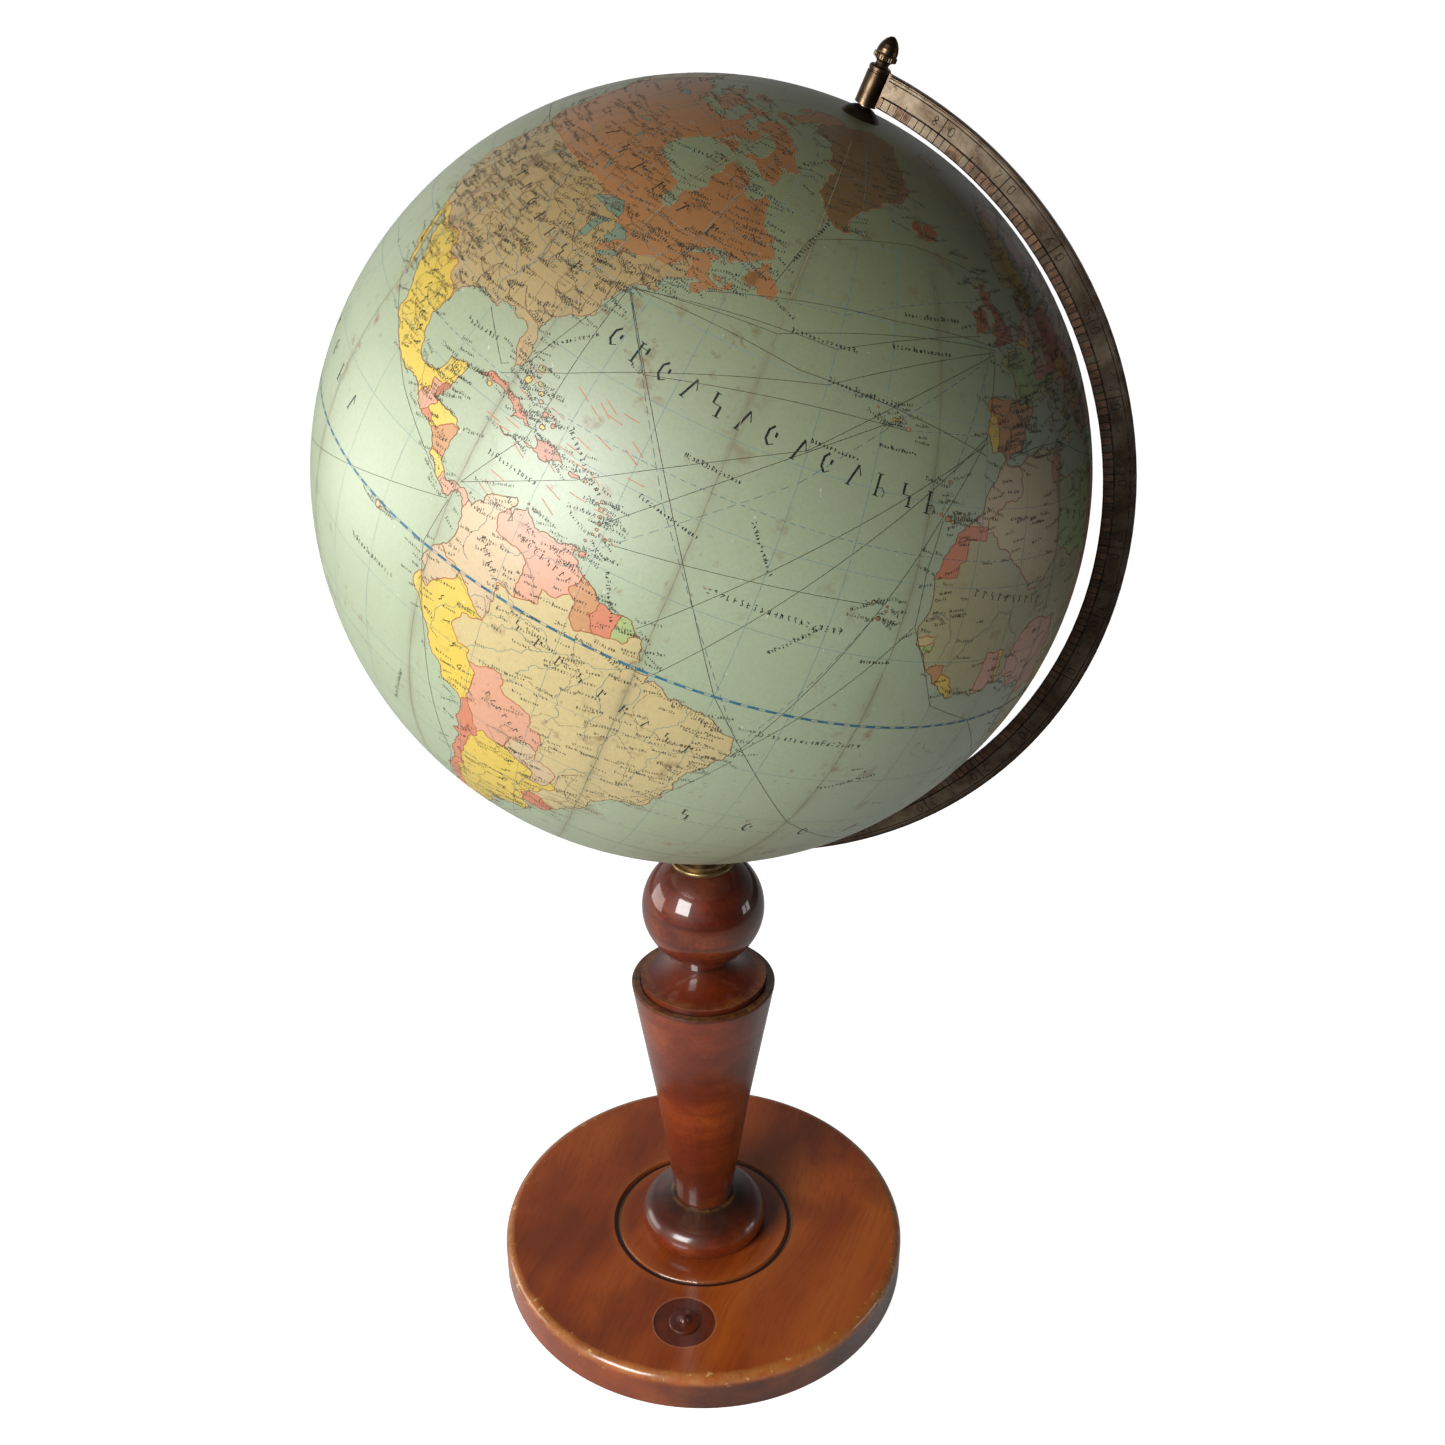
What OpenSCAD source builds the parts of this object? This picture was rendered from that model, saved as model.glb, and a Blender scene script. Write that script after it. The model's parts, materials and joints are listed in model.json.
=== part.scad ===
// Desktop globe on a turned wooden stand.
// A 33 cm paper covered globe turns on a tilted steel axle inside a brass half meridian,
// which is clamped to the ball on top of a turned column with a round wooden base.
// Millimetres, +Z up, origin at the middle of the underside. The north end leans to +X.

/* [Globe] */
// Outside diameter of the finished globe, paper included
globe_diameter = 330; // [327:1:333]
// Height of the globe centre above the table
globe_height = 450.5; // [446:0.5:456]
// Lean of the axle away from the vertical, degrees
axle_tilt = 22.6; // [20:0.1:25]
// Thickness of the printed paper skin
paper_thickness = 0.4; // [0.3:0.1:0.6]
// Wall thickness of the pasteboard shell
shell_wall = 3; // [2.4:0.2:4]

/* [Axle and poles] */
// Diameter of the steel axle rod
axle_diameter = 4; // [3.6:0.2:4.4]
// Radial running clearance of the pole bushes on the axle
bush_clearance = 0.05; // [0.03:0.01:0.1]
// Diameter of the domed pole caps
cap_diameter = 16; // [14:0.5:18]
// Outside diameter of the sleeves at the ends of the meridian
sleeve_diameter = 8.6; // [8:0.2:10]

/* [Meridian] */
// Inside radius of the brass half meridian
meridian_inner = 170; // [169.6:0.2:171]
// Radial width of the meridian band
meridian_width = 13; // [11:0.5:15]
// Thickness of the meridian band
meridian_thickness = 2.2; // [1.8:0.1:3]

/* [Stand] */
// Diameter of the round base
base_diameter = 219; // [205:1:235]
// Height of the top of the base above the table, felt included
base_height = 23.5; // [22:0.5:27]
// Radius of the turned ring groove in the base
groove_radius = 48; // [44:0.5:54]
// Largest diameter of the cushion shaped foot of the column
foot_diameter = 68; // [64:1:74]
// Height of the joint between foot and column
foot_top = 45; // [43:0.5:47]
// Column diameter at the bottom
column_bottom = 31; // [28:0.5:34]
// Column diameter at the top rim
column_top = 73; // [68:1:78]
// Height of the column rim
column_height = 187.5; // [185:0.5:190]
// Diameter of the ball under the meridian
ball_diameter = 61; // [59:0.5:63]
// Distance of the round plug from the column axis
plug_distance = 74; // [68:1:80]

/* [Hidden] */
$fn = 96;
globe_r = globe_diameter / 2;
shell_r = globe_r - paper_thickness;
shell_in = shell_r - shell_wall;
axle_r = axle_diameter / 2;
bore_r = axle_r + bush_clearance;
cap_r = cap_diameter / 2;
sleeve_r = sleeve_diameter / 2;
meridian_outer = meridian_inner + meridian_width;
// ends of the sleeves, measured along the axle from the globe centre
sleeve_lo = meridian_inner - 0.7;
sleeve_hi = meridian_outer + 0.8;
cap_top = sleeve_lo - 0.45;
nadir_z = globe_height - meridian_outer;
ball_r = ball_diameter / 2;
ball_z = 232;
neck_z = 199.8;
neck_r = 12.3;
collar_r = 32;
collar_z = 191.2;
seat_z = 257.4;
felt = 1.5;
base_r = base_diameter / 2;
edge_r = 4.6;
foot_r = foot_diameter / 2;
foot_curve = 10.5;
tenon_r = 10;
top_tenon_r = 9;
rim_r = column_top / 2;
shank_r = column_bottom / 2;
plug_angle = -79.3;
plug_r = 16;
ferrule_r = 16;
grip_r = 7.5;
knurl_n = 30;

// ---- frames -------------------------------------------------------------
// Along the axle: local +Z is north, local +X is the side that carries the meridian.
module on_axle() {
    translate([0, 0, globe_height]) rotate([0, axle_tilt, 0]) children();
}

module south() {
    mirror([0, 0, 1]) children();
}

module tube(r, bore, z0, z1) {
    translate([0, 0, z0]) difference() {
        cylinder(r = r, h = z1 - z0);
        translate([0, 0, -1]) cylinder(r = bore, h = z1 - z0 + 2);
    }
}

// ---- base -----------------------------------------------------------------
module base_disc() color("saddlebrown") difference() {
    rotate_extrude() difference() {
        union() {
            translate([0, felt]) square([base_r - edge_r, base_height - felt]);
            translate([0, felt + 1.5]) square([base_r, base_height - felt - 1.5 - edge_r]);
            translate([0, felt]) square([base_r - 1.5, 4]);
            translate([base_r - edge_r, base_height - edge_r]) circle(r = edge_r);
        }
        translate([-2 * base_r, 0]) square([2 * base_r, 40]);
        translate([groove_radius, base_height + 0.4]) circle(r = 1.9, $fn = 48);
    }
    // mortise for the column tenon and seat for the screw from below
    translate([0, 0, 10]) cylinder(r = tenon_r, h = 40);
    translate([0, 0, felt - 1]) cylinder(r = 9.5, h = 5.5);
    translate([0, 0, 0]) cylinder(r = 2.5, h = 30);
    rotate([0, 0, plug_angle]) translate([plug_distance, 0, base_height - 8]) cylinder(r = plug_r, h = 20);
}

module base_felt() color("darkgreen") cylinder(r = base_r - 3, h = felt);

module base_plug() color("sienna") rotate([0, 0, plug_angle]) translate([plug_distance, 0, base_height - 8])
rotate_extrude() difference() {
    union() {
        square([plug_r, 7.7]);
        polygon([[0, 7], [8, 7], [8, 8.3], [7.4, 8.8], [4.2, 9.1], [2.4, 9.9], [1.7, 11],
            [0.9, 11.5], [0, 11.6]]);
    }
    translate([-20, 0]) square([20, 20]);
}

module base_screw() color("gray") difference() {
    union() {
        translate([0, 0, felt + 0.4]) cylinder(r = 5, h = 2.6);
        translate([0, 0, felt + 2]) cylinder(r = 2.5, h = 38);
        translate([0, 0, felt + 40]) cylinder(r1 = 2.5, r2 = 0.6, h = 5);
    }
    translate([-6, -0.5, felt - 0.5]) cube([12, 1, 2]);
}

module base_washer() color("silver") tube(8.5, 2.5, felt + 3, felt + 4.5);

// ---- column ---------------------------------------------------------------
module foot_cushion() color("saddlebrown") rotate_extrude() difference() {
    union() {
        translate([foot_r - foot_curve, base_height + 7.5]) circle(r = foot_curve);
        polygon([[tenon_r, base_height], [foot_r - 4, base_height], [foot_r - 6.1, base_height + 17],
            [shank_r + 1.6, foot_top - 0.3], [shank_r + 0.9, foot_top], [tenon_r, foot_top]]);
    }
    translate([0, 0]) square([100, base_height]);
    translate([0, 0]) square([tenon_r, 100]);
}

module column() color("brown") difference() {
    union() {
        rotate_extrude() polygon([[0, foot_top], [shank_r, foot_top],
            [(shank_r + rim_r) / 2 - 0.9, (foot_top + column_height) / 2],
            [rim_r, column_height - 1.5], [rim_r, column_height - 0.7],
            [rim_r - 0.7, column_height], [0, column_height]]);
        translate([0, 0, 10]) cylinder(r = tenon_r, h = foot_top - 9);
    }
    // recess for the collar of the ball piece and its tenon
    translate([0, 0, column_height - 2.5]) cylinder(r = collar_r + 0.5, h = 10);
    translate([0, 0, column_height - 32]) cylinder(r = top_tenon_r, h = 50);
    cylinder(r = 2.5, h = felt + 40);
    translate([0, 0, felt + 40]) cylinder(r1 = 2.5, r2 = 0.6, h = 5);
}

// Flared collar, narrow neck and ball turned from one piece, with a tenon into the column.
module ball_top() color("saddlebrown") difference() {
    union() {
        translate([0, 0, ball_z]) sphere(r = ball_r);
        translate([0, 0, neck_z]) cylinder(r1 = neck_r, r2 = 23.9, h = ball_z - 19 - neck_z);
        translate([0, 0, column_height - 30]) cylinder(r = top_tenon_r, h = 40);
        // cove from the neck out to the lip of the collar
        rotate_extrude() difference() {
            translate([0, column_height - 2.5]) square([collar_r, neck_z - column_height + 2.5]);
            translate([collar_r, collar_z + 26.6]) circle(r = 26.6);
        }
    }
    translate([0, 0, seat_z]) cylinder(r = ferrule_r + 0.1, h = 20);
    translate([0, 0, seat_z - 30]) cylinder(r = 3, h = 60);
}

// ---- meridian clamp -------------------------------------------------------
module ferrule() color("goldenrod") difference() {
    rotate_extrude() difference() {
        union() {
            translate([0, seat_z]) square([ferrule_r, 1]);
            translate([ferrule_r - 1.2, seat_z + 1.2]) circle(r = 1.2, $fn = 48);
            translate([0, seat_z]) square([ferrule_r - 1.2, 2.4]);
            translate([0, seat_z + 2]) square([ferrule_r - 2, nadir_z - 6 - seat_z - 2]);
        }
        translate([-40, 0]) square([40, 400]);
    }
    translate([0, 0, seat_z - 1]) cylinder(r = 3, h = 30);
}

module clamp_stud() color("gray") translate([0, 0, seat_z - 28]) cylinder(r = 3, h = nadir_z - 3 - seat_z + 28);

module meridian_grip() color("darkgoldenrod") difference() {
    translate([0, 0, nadir_z - 6]) cylinder(r = grip_r, h = 13);
    translate([0, 0, globe_height]) rotate([90, 0, 0])
        cylinder(r = meridian_outer, h = meridian_thickness, center = true);
    translate([0, 0, nadir_z - 7]) cylinder(r = 3, h = 4);
    translate([0, 0, nadir_z + 3.4]) rotate([90, 0, 0]) cylinder(r = 1.5, h = 30, center = true);
    translate([0, -6, nadir_z + 3.4]) rotate([90, 0, 0]) cylinder(r = 3.2, h = 10);
    translate([0, 6, nadir_z + 3.4]) rotate([-90, 0, 0]) cylinder(r = 3.2, h = 10);
}

module grip_screw() color("gray") translate([0, 0, nadir_z + 3.4]) difference() {
    union() {
        translate([0, 8.4, 0]) rotate([90, 0, 0]) cylinder(r = 1.5, h = 16.4);
        translate([0, -6, 0]) rotate([90, 0, 0]) cylinder(r = 2.8, h = 2);
    }
    translate([-3, -8.6, -0.35]) cube([6, 1.4, 0.7]);
}

module grip_nut() color("gray") translate([0, 0, nadir_z + 3.4]) difference() {
    translate([0, 6, 0]) rotate([-90, 0, 0]) cylinder(r = 3, h = 2, $fn = 6);
    translate([0, 5, 0]) rotate([-90, 0, 0]) cylinder(r = 1.5, h = 6);
}

// ---- meridian -------------------------------------------------------------
// Flat half ring with shallow ring grooves on both faces that bound the degree scale.
module meridian_band() color("burlywood") difference() {
    on_axle() rotate([90, 0, 0]) difference() {
        cylinder(r = meridian_outer, h = meridian_thickness, center = true, $fn = 180);
        cylinder(r = meridian_inner, h = 10, center = true, $fn = 180);
        translate([-400, -200, -5]) cube([400, 400, 10]);
        for (face = [-1, 1])
            for (ring = [meridian_inner + 4.4, meridian_outer - 2.4])
                translate([0, 0, face * meridian_thickness / 2]) difference() {
                    cylinder(r = ring + 0.15, h = 0.24, center = true);
                    cylinder(r = ring - 0.15, h = 1, center = true);
                }
    }
    on_axle() translate([0, 0, -200]) cylinder(r = sleeve_r, h = 400);
    translate([0, 0, nadir_z + 3.4]) rotate([90, 0, 0]) cylinder(r = 1.5, h = 30, center = true);
}

// Sleeve with a turned shoulder near its outer end, bored for the axle.
module sleeve() rotate_extrude() polygon([[axle_r, sleeve_lo], [sleeve_r, sleeve_lo],
    [sleeve_r, sleeve_hi - 2.6], [sleeve_r - 0.3, sleeve_hi - 2.3], [sleeve_r - 0.3, sleeve_hi - 1.9],
    [sleeve_r, sleeve_hi - 1.6], [sleeve_r, sleeve_hi - 0.5], [sleeve_r - 0.5, sleeve_hi],
    [axle_r, sleeve_hi]]);

module north_sleeve() color("goldenrod") on_axle() sleeve();

module south_sleeve() color("goldenrod") on_axle() south() sleeve();

module axle_rod() color("silver") on_axle() translate([0, 0, -sleeve_hi - 5])
    cylinder(r = axle_r, h = 2 * sleeve_hi + 10);

// Acorn nut with a knurled band and a narrow neck.
module finial() color("goldenrod") on_axle() translate([0, 0, sleeve_hi]) difference() {
    union() {
        rotate_extrude() polygon([[0, 0], [2.9, 0], [2.5, 0.9], [2.7, 1.7], [3.6, 2.4], [4.2, 2.7],
            [4.2, 4.4], [4.0, 4.8], [4.1, 5.2], [3.9, 6.6], [3.3, 8.2], [2.4, 9.6], [1.3, 10.6],
            [0.5, 11], [0, 11.1]]);
        translate([0, 0, 2.8]) cylinder(r = 4.6, h = 1.5);
    }
    translate([0, 0, -1]) cylinder(r = axle_r, h = 6);
    for (i = [0 : knurl_n - 1])
        rotate([0, 0, i * 360 / knurl_n]) translate([4.62, 0, 2.5]) cylinder(r = 0.22, h = 2.2, $fn = 4);
}

module south_nut() color("goldenrod") on_axle() south() translate([0, 0, sleeve_hi]) difference() {
    union() {
        cylinder(r = 4.4, h = 3.2);
        translate([0, 0, 3.2]) cylinder(r1 = 4, r2 = 2.6, h = 2.6);
    }
    translate([0, 0, -1]) cylinder(r = axle_r, h = 6);
    for (i = [0 : knurl_n - 1])
        rotate([0, 0, i * 360 / knurl_n]) translate([4.42, 0, 0.6]) cylinder(r = 0.22, h = 2.2, $fn = 4);
}

// ---- globe: everything below turns on the axle ------------------------------
// Domed brass cap with its bush that runs on the axle.
module pole_cap() difference() {
    union() {
        intersection() {
            translate([0, 0, cap_top - 9.8]) sphere(r = 9.8);
            translate([0, 0, shell_r]) cylinder(r = cap_r, h = 20);
        }
        translate([0, 0, globe_r - 24]) cylinder(r = 4, h = 24);
    }
    translate([0, 0, 100]) cylinder(r = bore_r, h = 200);
    translate([0, 0, cap_top - 0.2]) cylinder(r = 10, h = 5);
}

module north_cap() color("darkgoldenrod") on_axle() pole_cap();

module south_cap() color("darkgoldenrod") on_axle() south() pole_cap();

// Turned wooden block glued inside the shell at the pole.
module pole_block() intersection() {
    difference() {
        translate([0, 0, shell_in - 24]) cylinder(r = 24, h = 40);
        translate([0, 0, 100]) cylinder(r = 4, h = 100);
        translate([0, 0, shell_in - 25]) cylinder(r = 12, h = 7);
    }
    sphere(r = shell_in);
}

module north_block() color("tan") on_axle() pole_block();

module south_block() color("tan") on_axle() south() pole_block();

module inner_post() color("tan") on_axle() translate([0, 0, -(shell_in - 18)]) difference() {
    cylinder(r = 12, h = 2 * (shell_in - 18));
    translate([0, 0, -1]) cylinder(r = 5, h = 2 * shell_in);
}

// Hoop glued inside the equator to hold the two half shells together.
module joint_band() color("tan") on_axle() rotate_extrude() difference() {
    intersection() {
        circle(r = shell_in, $fn = 180);
        translate([0, -15]) square([200, 30]);
    }
    translate([0, -20]) square([shell_in - 4, 40]);
}

module half_shell() difference() {
    intersection() {
        sphere(r = shell_r);
        cylinder(r = 200, h = 200);
    }
    sphere(r = shell_in);
    translate([0, 0, 100]) cylinder(r = 4, h = 100);
}

module shell_north() color("wheat") on_axle() half_shell();

module shell_south() color("wheat") on_axle() south() half_shell();

// Twelve printed paper gores, each covering thirty degrees, stopping short of the poles.
module map_gores() color("palegreen") on_axle() difference() {
    for (i = [0 : 11])
        rotate([0, 0, i * 30 + 11.42]) rotate_extrude(angle = 29.96) difference() {
            intersection() {
                circle(r = globe_r, $fn = 180);
                translate([0, -200]) square([400, 400]);
            }
            circle(r = shell_r, $fn = 180);
        }
    translate([0, 0, 100]) cylinder(r = 30, h = 200);
    translate([0, 0, -300]) cylinder(r = 30, h = 200);
}

// Round paper discs that cover the ends of the gores at both poles.
module polar_discs() color("lightgreen") on_axle() for (side = [0, 1]) mirror([0, 0, side]) difference() {
    intersection() {
        sphere(r = globe_r);
        translate([0, 0, 100]) cylinder(r = 30, h = 200);
    }
    sphere(r = shell_r);
    translate([0, 0, 100]) cylinder(r = cap_r + 0.1, h = 200);
}

base_disc();
base_felt();
base_plug();
base_screw();
base_washer();
foot_cushion();
column();
ball_top();
ferrule();
clamp_stud();
meridian_grip();
grip_screw();
grip_nut();
meridian_band();
north_sleeve();
south_sleeve();
axle_rod();
finial();
south_nut();
north_cap();
south_cap();
north_block();
south_block();
inner_post();
joint_band();
shell_north();
shell_south();
map_gores();
polar_discs();
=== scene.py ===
"""Looks of the desktop globe on its turned wooden stand: printed map, brass half meridian, varnished wood."""

import json
import math
import random

import bpy
import numpy as np
from mathutils import Matrix, Vector
from mathutils.geometry import delaunay_2d_cdt


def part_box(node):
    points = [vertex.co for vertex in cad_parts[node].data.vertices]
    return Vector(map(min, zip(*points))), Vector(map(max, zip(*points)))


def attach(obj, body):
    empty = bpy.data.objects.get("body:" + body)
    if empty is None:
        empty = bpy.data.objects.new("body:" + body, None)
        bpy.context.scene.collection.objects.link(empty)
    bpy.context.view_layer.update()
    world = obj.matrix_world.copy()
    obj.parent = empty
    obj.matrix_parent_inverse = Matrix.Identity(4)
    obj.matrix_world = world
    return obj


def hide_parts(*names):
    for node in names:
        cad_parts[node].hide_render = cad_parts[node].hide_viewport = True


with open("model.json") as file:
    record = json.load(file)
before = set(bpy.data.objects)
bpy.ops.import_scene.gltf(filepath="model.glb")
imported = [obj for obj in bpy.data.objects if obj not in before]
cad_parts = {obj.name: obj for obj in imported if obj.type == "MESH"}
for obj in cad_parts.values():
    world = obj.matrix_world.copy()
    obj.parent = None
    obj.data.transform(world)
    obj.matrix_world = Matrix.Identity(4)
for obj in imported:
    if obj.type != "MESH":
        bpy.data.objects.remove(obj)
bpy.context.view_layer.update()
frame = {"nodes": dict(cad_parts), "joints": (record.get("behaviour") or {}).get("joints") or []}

# ---------------------------------------------------------------- named values
MM = 0.001
JOINT = frame["joints"][0]
CENTRE = np.array(JOINT["pos_m"])
AXLE = np.array(Vector(JOINT["axis"]).normalized())
EAST = np.array((AXLE[2], 0.0, -AXLE[0]))  # from the axle towards the middle of the meridian
GLOBE_R = 165.0 * MM
PAPER = 0.25 * MM
PRIME_OFFSET = 28.58  # longitude that faces the meridian
SEAM_0 = -170.02  # longitude of the first seam between two gores
GORE = 30  # width of a gore in degrees of longitude
CUT_LAT = 79.5  # where the gores stop and the polar papers start
CAP_LAT = 87.3  # where the polar papers stop under the brass caps
COAST_END = -78.9  # latitude under which the southern coast is only closed round the pole, not printed

CAMERA_AZIMUTH = 18.55
CAMERA_DISTANCE = 0.6556
CAMERA_HEIGHT = 0.6690
CAMERA_PITCH = 27.08
CAMERA_YAW = 0.80
CAMERA_ROLL = 0.27
CAMERA_LENS = 39.17
TURN = Matrix.Rotation(math.radians(CAMERA_AZIMUTH), 3, "Z")  # from the camera's straight-on view to the frame


# ---------------------------------------------------------------- small helpers
def new_object(name, mesh, body):
    piece = bpy.data.objects.new(name, mesh)
    bpy.context.scene.collection.objects.link(piece)
    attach(piece, body)
    return piece


def mesh_from(name, points, faces, normals=None, material=None):
    """A smooth mesh. normals holds one direction per point, used where curves must shade exactly."""
    mesh = bpy.data.meshes.new(name)
    mesh.from_pydata([tuple(p) for p in points], [], [tuple(int(i) for i in f) for f in faces])
    mesh.shade_smooth()
    if normals is not None:
        mesh.normals_split_custom_set_from_vertices([tuple(n) for n in normals])
    if material is not None:
        mesh.materials.append(material)
    return mesh


def on_globe(lon, lat, lift=0.0):
    """Points on the globe at rest, and their outward directions."""
    phi = np.radians(np.asarray(lon, float) - PRIME_OFFSET)
    lam = np.radians(np.asarray(lat, float))
    north = np.outer(np.sin(lam), AXLE)
    side = np.outer(np.cos(lam) * np.cos(phi), EAST)
    front = np.outer(np.cos(lam) * np.sin(phi), np.array((0.0, 1.0, 0.0)))
    out = north + side + front
    return CENTRE + out * (GLOBE_R + lift), out


# ---------------------------------------------------------------- materials made of nodes
class Nodes:
    """Short ways to add nodes to a tree and to join them."""

    def __init__(self, tree):
        self.tree = tree

    def add(self, kind, **props):
        node = self.tree.nodes.new(kind)
        for key, value in props.items():
            setattr(node, key, value)
        return node

    def put(self, socket, value):
        if isinstance(value, bpy.types.NodeSocket):
            self.tree.links.new(value, socket)
        elif isinstance(value, (tuple, list)) and len(value) == 3 and socket.type == "RGBA":
            socket.default_value = (*value, 1.0)
        else:
            socket.default_value = value

    def math(self, operation, a, b=0.0, clamp=False):
        node = self.add("ShaderNodeMath", operation=operation, use_clamp=clamp)
        self.put(node.inputs[0], a)
        self.put(node.inputs[1], b)
        return node.outputs[0]

    def times(self, value, *factors):
        for factor in factors:
            value = self.math("MULTIPLY", value, factor)
        return value

    def measure(self, operation, a, b):
        """One number from two vectors: DOT_PRODUCT or DISTANCE."""
        node = self.add("ShaderNodeVectorMath", operation=operation)
        self.put(node.inputs[0], a)
        self.put(node.inputs[1], b)
        return node.outputs["Value"]


class Graph(Nodes):
    """A material with one Principled shader, and short ways to add the patterns that drive it."""

    def __init__(self, name, **sockets):
        """name is a new material's name, or a material to be built upon."""
        if isinstance(name, str):
            self.mat = bpy.data.materials.new(name)
            self.mat.use_nodes = True
        else:
            self.mat = name
        super().__init__(self.mat.node_tree)
        self.shader = self.tree.nodes["Principled BSDF"]
        self.coords = self.add("ShaderNodeTexCoord").outputs["Object"]
        for key, value in sockets.items():
            self.shader.inputs[key.replace("_", " ")].default_value = value

    def set(self, name, value):
        self.put(self.shader.inputs[name], value)

    def scaled(self, scale, turn=(0, 0, 0), shift=(0, 0, 0)):
        node = self.add("ShaderNodeMapping")
        self.put(node.inputs["Vector"], self.coords)
        self.put(node.inputs["Scale"], scale)
        self.put(node.inputs["Rotation"], turn)
        self.put(node.inputs["Location"], shift)
        return node.outputs[0]

    def noise(self, scale, detail=4.0, rough=0.55, bend=0.0, source=None):
        node = self.add("ShaderNodeTexNoise")
        self.put(node.inputs["Vector"], source or self.coords)
        self.put(node.inputs["Scale"], scale)
        self.put(node.inputs["Detail"], detail)
        self.put(node.inputs["Roughness"], rough)
        self.put(node.inputs["Distortion"], bend)
        return node.outputs["Fac"]

    def ramp(self, value, *stops):
        """stops are (place, colour or grey)."""
        node = self.add("ShaderNodeValToRGB")
        row = node.color_ramp.elements
        while len(row) < len(stops):
            row.new(0.5)
        for element, (place, colour) in zip(row, stops):
            element.position = place
            element.color = (*colour, 1) if isinstance(colour, tuple) else (colour, colour, colour, 1)
        self.put(node.inputs["Fac"], value)
        return node.outputs["Color"]

    def mix(self, amount, a, b, blend="MIX"):
        node = self.add("ShaderNodeMix", data_type="RGBA", blend_type=blend)
        self.put(node.inputs["Factor"], amount)
        self.put(node.inputs[6], a)
        self.put(node.inputs[7], b)
        return node.outputs[2]

    def bump(self, height, depth, strength=1.0, after=None):
        """depth is in metres."""
        node = self.add("ShaderNodeBump")
        self.put(node.inputs["Height"], height)
        self.put(node.inputs["Distance"], depth)
        self.put(node.inputs["Strength"], strength)
        if after is not None:
            self.put(node.inputs["Normal"], after)
        return node.outputs["Normal"]

    def axes(self, source=None):
        node = self.add("ShaderNodeSeparateXYZ")
        self.put(node.inputs[0], source or self.coords)
        return node.outputs

    def radius(self):
        """Distance from the stand's upright axis."""
        x, y, _ = self.axes()
        return self.math("SQRT", self.math("ADD", self.times(x, x), self.times(y, y)))

    def band(self, value, centre, half):
        """1 at centre, falling to 0 at half away."""
        away = self.math("ABSOLUTE", self.math("SUBTRACT", value, centre))
        return self.math("SUBTRACT", 1.0, self.math("DIVIDE", away, half), clamp=True)

    def above(self, value, low, high):
        """0 under low, 1 over high."""
        return self.math("DIVIDE", self.math("SUBTRACT", value, low), high - low, clamp=True)


# colour of the bands painted darker on the turned wood, mostly painted shade where parts meet
DARK_BAND_COLOUR = (0.016, 0.006, 0.004)
RUBBED_WOOD = (0.46, 0.21, 0.055)


def polished_wood(name, dark, middle, light, flow, gloss, blotch=9.0, turned=0.5, fibre=0.40, worn=(), dark_bands=()):
    """Stained hardwood under old varnish. flow is how much the figure shrinks along x, y and z, gloss is the
    varnish's roughness, blotch the scale of the clouds, turned how much the fine rings of the lathe show and
    fibre how much the pores do. worn lists rubbed bands and the other list bands painted darker, mostly as painted
    shade where parts meet; each is (height, half, strength), with lengths in metres."""
    g = Graph(name, Coat_Weight=1.0, Coat_IOR=1.52, Coat_Roughness=gloss, Specular_IOR_Level=0.3)
    moved = g.add("ShaderNodeVectorMath", operation="ADD")
    g.put(moved.inputs[0], g.scaled(flow))
    lean = g.add("ShaderNodeVectorMath", operation="SCALE")
    g.put(lean.inputs[0], (1.0, 0.7, 0.4))
    g.put(lean.inputs["Scale"], g.times(g.noise(6.0, 2.0), 0.05))
    g.put(moved.inputs[1], lean.outputs[0])
    grain = moved.outputs[0]
    figure = g.noise(30.0, 4.0, 0.5, 0.3, grain)
    pores = g.noise(520.0, 3.0, 0.65, 0.0, grain)
    rings = g.noise(260.0, 3.0, 0.6, 0.0, g.scaled((0.03, 0.03, 1.0)))
    cloud = g.noise(blotch, 3.0, 0.5, 0.4)
    body = g.ramp(figure, (0.28, dark), (0.5, middle), (0.72, light))
    body = g.mix(g.times(g.ramp(rings, (0.40, 1.0), (0.56, 0.0)), 0.45 * turned), body, tuple(c * 0.6 for c in dark))
    body = g.mix(g.ramp(pores, (0.40, fibre), (0.50, 0.0)), body, tuple(c * 0.55 for c in dark))
    body = g.mix(g.ramp(cloud, (0.36, 0.60), (0.54, 0.0)), body, tuple(c * 0.60 for c in dark))
    body = g.mix(g.ramp(cloud, (0.54, 0.0), (0.72, 0.45)), body, light)
    z = g.axes()[2]
    ragged = g.ramp(g.noise(150.0, 5.0, 0.75), (0.40, 0.1), (0.62, 1.0))
    soft = g.ramp(g.noise(60.0, 4.0, 0.6), (0.3, 0.45), (0.7, 1.0))
    # the dark bands paint shade into the wood's colour, the worn bands show rubbed varnish
    for marks, patchy, colour in ((dark_bands, soft, DARK_BAND_COLOUR), (worn, ragged, RUBBED_WOOD)):
        for height, half, strength in marks:
            body = g.mix(g.times(g.band(z, height, half), patchy, strength), body, colour)
    g.set("Base Color", body)
    g.set("Roughness", g.math("ADD", 0.36, g.times(g.noise(26.0, 5.0, 0.65), 0.2)))
    scratch = g.noise(900.0, 2.0, 0.6, 0.0, g.scaled((1.0, 1.0, 0.08), (0.5, 0.9, 0.3)))
    relief = g.bump(pores, 0.00005, 0.3)
    g.set("Normal", g.bump(scratch, 0.00004, 0.2, relief))
    g.set("Coat Normal", g.bump(g.noise(30.0, 3.0, 0.5), 0.0003, 0.3))
    return g.mat


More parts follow.
